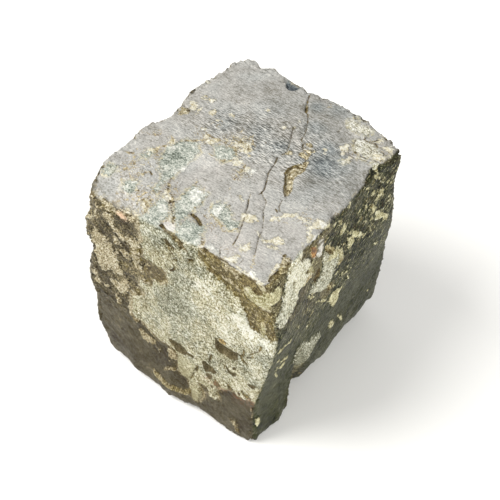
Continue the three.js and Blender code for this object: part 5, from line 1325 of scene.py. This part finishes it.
# and greener yellow under the painted highlights
c_tan = mix(step(a_painted_highlight, 0.05, 0.40), c_tan, ramp(l_tan, LF, (0.0, (100, 92, 52)), (0.2, (142, 134, 88)), (0.35, (168, 161, 115)), (0.5, (192, 186, 142)), (0.65, (210, 204, 163)), (0.8, (228, 223, 186)), (1.0, (250, 247, 222))))
c_tan = mix(right, c_tan, ramp(l_tan, LR, (0.0, (92, 84, 52)), (0.2, (140, 132, 94)), (0.35, (172, 165, 126)), (0.5, (196, 190, 150)), (0.65, (214, 208, 168)), (0.8, (230, 225, 188)), (1.0, (250, 247, 224))))
c_tan = mix(op("MULTIPLY", top, 0.9), c_tan, ramp(l_tan, LT, (0.0, (158, 142, 106)), (0.2, (200, 187, 150)), (0.35, (221, 211, 178)), (0.5, (234, 226, 198)), (0.65, (243, 237, 214)), (0.8, (250, 246, 228)), (1.0, (255, 254, 244))))
c_tan = mix(op("MULTIPLY", a_rose, 0.75), c_tan, mix(right, rgb(244, 208, 178), rgb(214, 176, 146)))

# fresh brassy metal
l_gold = blend(0.5, (1.9, fine2), (2.3, grit), (1.1, streak_band))
c_gold = ramp(l_gold, 1.12, (0.0, (66, 54, 30)), (0.25, (112, 98, 62)), (0.5, (154, 141, 98)), (0.75, (196, 185, 140)), (1.0, (240, 233, 200)))
c_gold = mix(top, c_gold, ramp(l_gold, LT, (0.0, (92, 78, 50)), (0.25, (138, 125, 94)), (0.5, (184, 172, 138)), (0.75, (220, 210, 178)), (1.0, (248, 243, 226))))

base_c = bare
# thin crooked veins and loose flecks where the skin is breaking up
vein_n = noise(2.2, 3.0, 0.6, 0.8, w=97.0)
vein = op("MULTIPLY", hairs(vein_n, 0.030), step(op("MULTIPLY_ADD", op("SUBTRACT", medium, 0.5), 2.4, a_speck), 0.40, 0.60))
base_c = mix(op("MULTIPLY", vein, 0.8), base_c, mix(top, rgb(64, 52, 30), mix(step(fine2, 0.42, 0.55), rgb(110, 94, 62), rgb(180, 164, 124))))
fleck_v = op("ADD", op("MULTIPLY_ADD", top, 0.02, op("MULTIPLY_ADD", right, -0.03, noise(0.8, 3.0, 0.65, w=61.0))), op("MULTIPLY", op("SUBTRACT", a_speck, 1.0), 0.24))
m_fleck = step(fleck_v, 0.53, 0.59)
fleck_c = mix(step(noise(1.3, 2.0, 0.5, w=67.0), 0.52, 0.60), mix(top, rgb(196, 186, 146), mix(step(grit, 0.42, 0.60), rgb(196, 186, 150), rgb(236, 232, 212))), rgb(112, 94, 60))
base_c = mix(op("MULTIPLY", m_fleck, 0.9), base_c, fleck_c)
wear_m = op("MULTIPLY", step(op("ADD", a_wear, op("MULTIPLY", jitter, 0.7)), 0.45, 0.75), mixf(top, 0.65, 0.25))
base_c = mix(wear_m, base_c, mix(step(medium, 0.4, 0.6), rgb(158, 148, 112), rgb(112, 99, 70)))
# loose fringe of the crust
edge_v = op("MULTIPLY_ADD", torn, 2.4, attr("crust"))
halo_f = op("MULTIPLY", op("MULTIPLY", step(edge_v, -1.7, -0.3), front), op("MULTIPLY", op("SUBTRACT", 1.0, m_band), 0.8))
halo_t = op("MULTIPLY", op("MULTIPLY", step(edge_v, -1.0, 0.0), top), step(fine2, 0.38, 0.60))
base_c = mix(halo_f, base_c, c_tan)
base_c = mix(op("MULTIPLY", halo_t, 0.6), base_c, rgb(206, 198, 162))
base_c = mix(m_crust, base_c, c_cr)
base_c = mix(op("MULTIPLY", m_cream, 0.95), base_c, c_tan)
base_c = mix(m_gold, base_c, c_gold)
c_vein = ramp(blend(0.5, (2.2, fine2), (1.4, grit)), LT, (0.1, (104, 88, 60)), (0.35, (158, 142, 106)), (0.55, (200, 185, 146)), (0.8, (226, 215, 180)), (1.0, (248, 242, 218)))
base_c = mix(op("MULTIPLY", mask("vein", 0.12, 0.7, 0.5, 0.4), 0.9), base_c, c_vein)
base_c = mix(op("MULTIPLY", m_white, 0.8), base_c, mix(right, mix(step(fine2, 0.40, 0.60), rgb(196, 198, 190), rgb(244, 243, 236)), mix(step(fine2, 0.36, 0.46), rgb(214, 204, 178), rgb(252, 250, 242))))
l_rust = blend(0.5, (2.2, fine2), (2.0, grit))
rust_c = ramp(l_rust, 1.15, (0.1, (84, 66, 20)), (0.4, (132, 108, 48)), (0.65, (172, 146, 80)), (1.0, (222, 202, 142)))
rust_c = mix(right, rust_c, ramp(l_rust, 1.0, (0.1, (84, 58, 28)), (0.4, (140, 98, 48)), (0.65, (184, 130, 66)), (1.0, (220, 176, 108)), veil=0.0))
base_c = mix(m_rust, base_c, rust_c)
pit_m = op("MULTIPLY", step(op("MULTIPLY_ADD", jitter, 0.5, a_pit), 0.35, 0.65), op("SUBTRACT", 1.0, m_rust))
pit_c = ramp(blend(0.46, (0.9, streak_front), (1.1, grit)), 0.95, (0.1, (60, 52, 34)), (0.35, (88, 80, 58)), (0.5, (104, 95, 73)), (0.7, (124, 114, 88)), (0.95, (176, 166, 130)))
base_c = mix(pit_m, base_c, pit_c)
l_dark = blend(op("ADD", op("MULTIPLY", right, -0.10), op("MULTIPLY_ADD", top, -0.12, 0.62)), (1.4, fine2), (1.2, grit))
dark_c = ramp(l_dark, 1.1, (0.1, (42, 34, 19)), (0.4, (78, 67, 42)), (0.6, (104, 92, 61)), (0.9, (160, 146, 104)))
base_c = mix(m_dark, base_c, dark_c)
rose_f = op("MULTIPLY", op("MULTIPLY", a_rose, step(fine2, 0.46, 0.56)), 0.6)
base_c = mix(op("MULTIPLY", rose_f, op("SUBTRACT", 1.0, m_cream)), base_c, rgb(140, 98, 72))

# how metallic and how rough
dull = op("MAXIMUM", op("MAXIMUM", m_crust, m_cream), op("MAXIMUM", m_white, pit_m))
metal = mixf(dull, mixf(top, 0.62, 0.18), 0.0)
metal = mixf(m_gold, metal, 0.5)
metal = mixf(op("MAXIMUM", m_rust, m_dark), metal, 0.0)
rough = mixf(top, mixf(step(fine2, 0.4, 0.7), 0.42, 0.64), mixf(step(medium, 0.3, 0.7), 0.56, 0.68))
rough = mixf(m_band, rough, mixf(step(grit, 0.4, 0.6), 0.34, 0.58))
rough = mixf(dull, rough, mixf(step(scratch, 0.5, 0.7), 0.88, 0.62))
rough = mixf(m_gold, rough, mixf(step(grit, 0.4, 0.6), 0.34, 0.54))
rough = mixf(m_rust, rough, 0.45)
rough = mixf(m_dark, rough, 0.8)

# fine relief
b_top = op("MULTIPLY", op("ADD", op("MULTIPLY", streak_top, 1.0), op("MULTIPLY", streak_top2, 1.0)), op("MULTIPLY_ADD", a_hatch, 0.8, 0.25))
b_side = op("MULTIPLY", op("ADD", op("MULTIPLY", s_mix, 1.3), op("ADD", op("MULTIPLY", fine, 0.9), op("MULTIPLY", streak_right2, op("MULTIPLY", right, 1.0)))), quiet)
b_side = mixf(m_band, b_side, op("ADD", op("MULTIPLY", streak_band, 1.5), op("MULTIPLY", fine, 0.6)))
b = mixf(top, b_side, b_top)
b = op("ADD", b, op("MULTIPLY", grit, op("MULTIPLY", quiet, 0.5)))
b_cr = op("ADD", op("MULTIPLY", fine, 1.3), op("ADD", op("MULTIPLY", grit, 1.2), op("ADD", op("MULTIPLY", scratch, 0.9), op("MULTIPLY", hair, -0.35))))
b = mixf(dull, b, b_cr)
b = op("ADD", b, op("MULTIPLY", m_gold, op("MULTIPLY", fine2, 1.0)))
b = op("ADD", b, op("MULTIPLY", m_fleck, 0.30))
b = op("SUBTRACT", b, op("MULTIPLY", vein, 0.5))
bump = nt.nodes.new("ShaderNodeBump")
bump.inputs["Strength"].default_value = 0.85
bump.inputs["Distance"].default_value = 0.00034
nt.links.new(b, bump.inputs["Height"])

bsdf = nt.nodes.new("ShaderNodeBsdfPrincipled")
nt.links.new(base_c, bsdf.inputs["Base Color"])
nt.links.new(metal, bsdf.inputs["Metallic"])
nt.links.new(rough, bsdf.inputs["Roughness"])
nt.links.new(bump.outputs[0], bsdf.inputs["Normal"])
outn = nt.nodes.new("ShaderNodeOutputMaterial")
nt.links.new(bsdf.outputs[0], outn.inputs["Surface"])
mesh.materials.append(mat)

rock = bpy.data.objects.new("pyrite_cube_visual", mesh)
bpy.context.scene.collection.objects.link(rock)
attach(rock, "root")
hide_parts("pyrite_cube")

# ------------------------------------------------------------------ floor, light, camera
fm = bpy.data.materials.new("pale_floor")
fm.use_nodes = True
fb = fm.node_tree.nodes["Principled BSDF"]
fb.inputs["Base Color"].default_value = (0.86, 0.86, 0.85, 1)
fb.inputs["Roughness"].default_value = 0.9
fmesh = bpy.data.meshes.new("floor")
fmesh.from_pydata([(-4, -4, 0), (4, -4, 0), (4, 4, 0), (-4, 4, 0)], [], [(0, 1, 2, 3)])
fmesh.materials.append(fm)
floor = bpy.data.objects.new("floor", fmesh)
bpy.context.scene.collection.objects.link(floor)

world = bpy.data.worlds.new("studio")
world.use_nodes = True
world.node_tree.nodes["Background"].inputs[0].default_value = (1.0, 0.99, 0.97, 1)
world.node_tree.nodes["Background"].inputs[1].default_value = 0.62
bpy.context.scene.world = world


def area(name, loc, target, size, watts, color=(1, 1, 1)):
    ld = bpy.data.lights.new(name, "AREA")
    ld.shape = "DISK"
    ld.size = size
    ld.energy = watts
    ld.color = color
    ob = bpy.data.objects.new(name, ld)
    ob.location = loc
    ob.rotation_mode = "QUATERNION"
    ob.rotation_quaternion = (Vector(target) - Vector(loc)).to_track_quat("-Z", "Y")
    bpy.context.scene.collection.objects.link(ob)
    return ob


area("key", (-0.36, -0.34, 0.62), (0, 0, 0.03), 0.50, 6.9, (1.0, 0.985, 0.95))
area("fill", (0.56, -0.26, 0.40), (0, 0, 0.03), 0.50, 3.0, (1.0, 0.995, 0.97))

cam_data = bpy.data.cameras.new("camera")
cam_data.sensor_width = 36.0
cam_data.lens = 74.595
cam_data.clip_start = 0.01
cam_data.clip_end = 20.0
camera = bpy.data.objects.new("camera", cam_data)
bpy.context.scene.collection.objects.link(camera)
m = Matrix.Identity(4)
for r in range(3):
    m[r][0], m[r][1], m[r][2] = VIEW[0][r], -VIEW[1][r], -VIEW[2][r]
    m[r][3] = float((EYE[r] + SHIFT[r]) * 0.001)
camera.matrix_world = m
bpy.context.scene.camera = camera
bpy.context.scene.view_settings.view_transform = "Standard"
